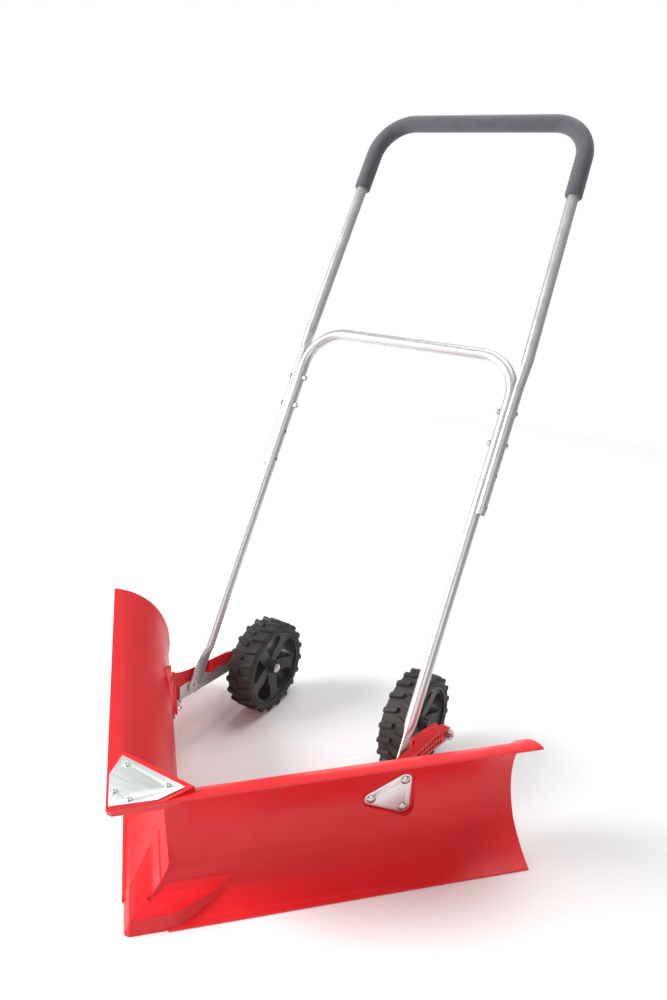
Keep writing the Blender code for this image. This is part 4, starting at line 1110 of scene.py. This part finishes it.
def both_sides(stations):
    """Rings for the whole U: the right leg's stations, then the left's in reverse."""
    right = [[station_ring(c, n, ring, 1) for ring in rings] for c, n, rings in stations]
    left = [[station_ring(c, n, ring, -1) for ring in rings] for c, n, rings in stations]
    whole = right + left[-2::-1]
    return [pair[0] for pair in whole], [pair[1] for pair in whole]


def lower_frame():
    """Lower U: round tube whose ends are pressed into flat tabs for the pivot bolts."""
    round_pair = (round_ring(TUBE_RADIUS), round_ring(TUBE_RADIUS - TUBE_WALL))
    thick = TAB_THICKNESS / 2

    def tab(width):
        return (flat_ring(thick, width), flat_ring(0.0003, max(width - 0.0022, 0.001)))

    stations = []
    rounded = 8
    for i in range(rounded + 1):
        angle = math.pi / 2 * (0.22 + 0.78 * i / rounded)
        b = TAB_END + TAB_HALF * (1 - math.cos(angle)) * 0.9
        stations.append((Vector((TAB_A, b)), OUT, tab(TAB_HALF * math.sin(angle))))
    stations.append((Vector((TAB_A, 0.048)), OUT, tab(TAB_HALF)))
    steps = 8
    for i in range(1, steps + 1):
        ease = i / steps
        share = ease * ease * (3 - 2 * ease)
        pair = tuple(blend(f, r, share) for f, r in zip(tab(TAB_HALF), round_pair))
        centre = Vector((TAB_A + (LOWER_A - TAB_A) * share, 0.048 + 0.038 * ease))
        stations.append((centre, OUT, pair))
    bend = u_stations((LOWER_A, LOWER_BAR), (LOWER_A, 0.0), BEND)
    stations += [(centre, normal, round_pair) for centre, normal in bend]
    piece = tube("lower_frame_fine", *both_sides(stations))
    for side, _ in SIDES:
        for b in HANDLE_BOLTS + SPARE_HOLES:
            drill(piece, handle_point(side * LOWER_A, b), (1, 0, 0), HANDLE_BOLT[0] + GAP, 0.04)
    fit(piece, "silver_tube", "handle", "lower_frame")


def upper_handle():
    """Upper U: round tube whose lower ends are crimped to nest on the lower frame."""
    nest = TUBE_RADIUS + GAP
    offset = CRIMP_A - LOWER_A
    crescent_pair = (crescent_ring(TUBE_RADIUS, nest, offset),
                     crescent_ring(TUBE_RADIUS - TUBE_WALL, nest + TUBE_WALL, offset))
    round_pair = (round_ring(TUBE_RADIUS), round_ring(TUBE_RADIUS - TUBE_WALL))
    stations = [(Vector((CRIMP_A, b)), OUT, crescent_pair) for b in (UPPER_END, CRIMP_B)]
    steps = 8
    for i in range(1, steps + 1):
        share = i / steps
        pair = tuple(blend(f, r, share) for f, r in zip(crescent_pair, round_pair))
        centre = Vector((CRIMP_A + (UPPER_LOW_A - CRIMP_A) * share,
                         CRIMP_B + (UPPER_LOW_B - CRIMP_B) * share))
        stations.append((centre, OUT, pair))
    bend = u_stations((UPPER_TOP_A, UPPER_BAR), (UPPER_LOW_A, UPPER_LOW_B), BEND)
    stations += [(centre, normal, round_pair) for centre, normal in bend]
    piece = tube("upper_handle_fine", *both_sides(stations))
    for side, _ in SIDES:
        for b in HANDLE_BOLTS + SPARE_HOLES:
            drill(piece, handle_point(side * CRIMP_A, b), (1, 0, 0), HANDLE_BOLT[0] + GAP, 0.04)
    fit(piece, "silver_tube", "handle", "upper_handle")


def foam_grip():
    """Foam sleeve around the top of the upper U, with softly rounded ends."""
    bore = round_ring(TUBE_RADIUS + GAP)
    bend = u_stations((UPPER_TOP_A, UPPER_BAR), (UPPER_LOW_A, UPPER_LOW_B), BEND)
    leg = Vector((UPPER_TOP_A - UPPER_LOW_A, UPPER_BAR - UPPER_LOW_B)).normalized()
    share = (GRIP_END - UPPER_LOW_B) / (UPPER_BAR - UPPER_LOW_B)
    end = Vector((UPPER_LOW_A + (UPPER_TOP_A - UPPER_LOW_A) * share, GRIP_END))
    rounding = 0.0035
    stations = []
    for angle in (0, 22, 45, 68, 90):
        turn = math.radians(angle)
        radius = GRIP_RADIUS - rounding * (1 - math.sin(turn))
        centre = end + leg * rounding * (1 - math.cos(turn))
        stations.append((centre, bend[0][1], (round_ring(radius), bore)))
    length = (bend[0][0] - end).length
    spacing = 0.008
    for k in range(1, int(length / spacing)):
        centre = end + leg * (rounding + (length - rounding) * k * spacing / length)
        stations.append((centre, bend[0][1], (round_ring(GRIP_RADIUS), bore)))
    stations += [(c, n, (round_ring(GRIP_RADIUS), bore)) for c, n in bend]
    piece = tube("foam_grip_fine", *both_sides(stations))
    fit(piece, "grip_foam", "handle", "foam_grip")


# ---------------------------------------------------------------- assembly

add_camera()
add_floor()
add_lights()
FINISH = {
    "blade_plastic": red_plastic("blade_plastic", 900.0),
    "arm_plastic": red_plastic("arm_plastic", 1200.0),
    "silver_tube": silver_paint(),
    "plate_steel": sheet_steel(),
    "zinc_fastener": zinc(),
    "grip_foam": foam(),
    "tyre_rubber": tyre_rubber(),
    "rim_plastic": rim_plastic(),
}

nose_cap()
refined("corner_plate", "plate_steel", 0.0005)
for side, label in SIDES:
    blade(side, label)
    blade_fasteners(side, label)
    refined(f"mount_plate_{label}", "plate_steel", 0.0005)
    refined(f"wheel_arm_{label}", "arm_plastic", 0.0007)
    refined(f"arm_bar_{label}", "silver_tube", 0.0006)
    arm_fasteners(side, label)
    wheel_rim(side, label)
    wheel_tyre(side, label)
    handle_fasteners(side, label)
lower_frame()
upper_handle()
foam_grip()
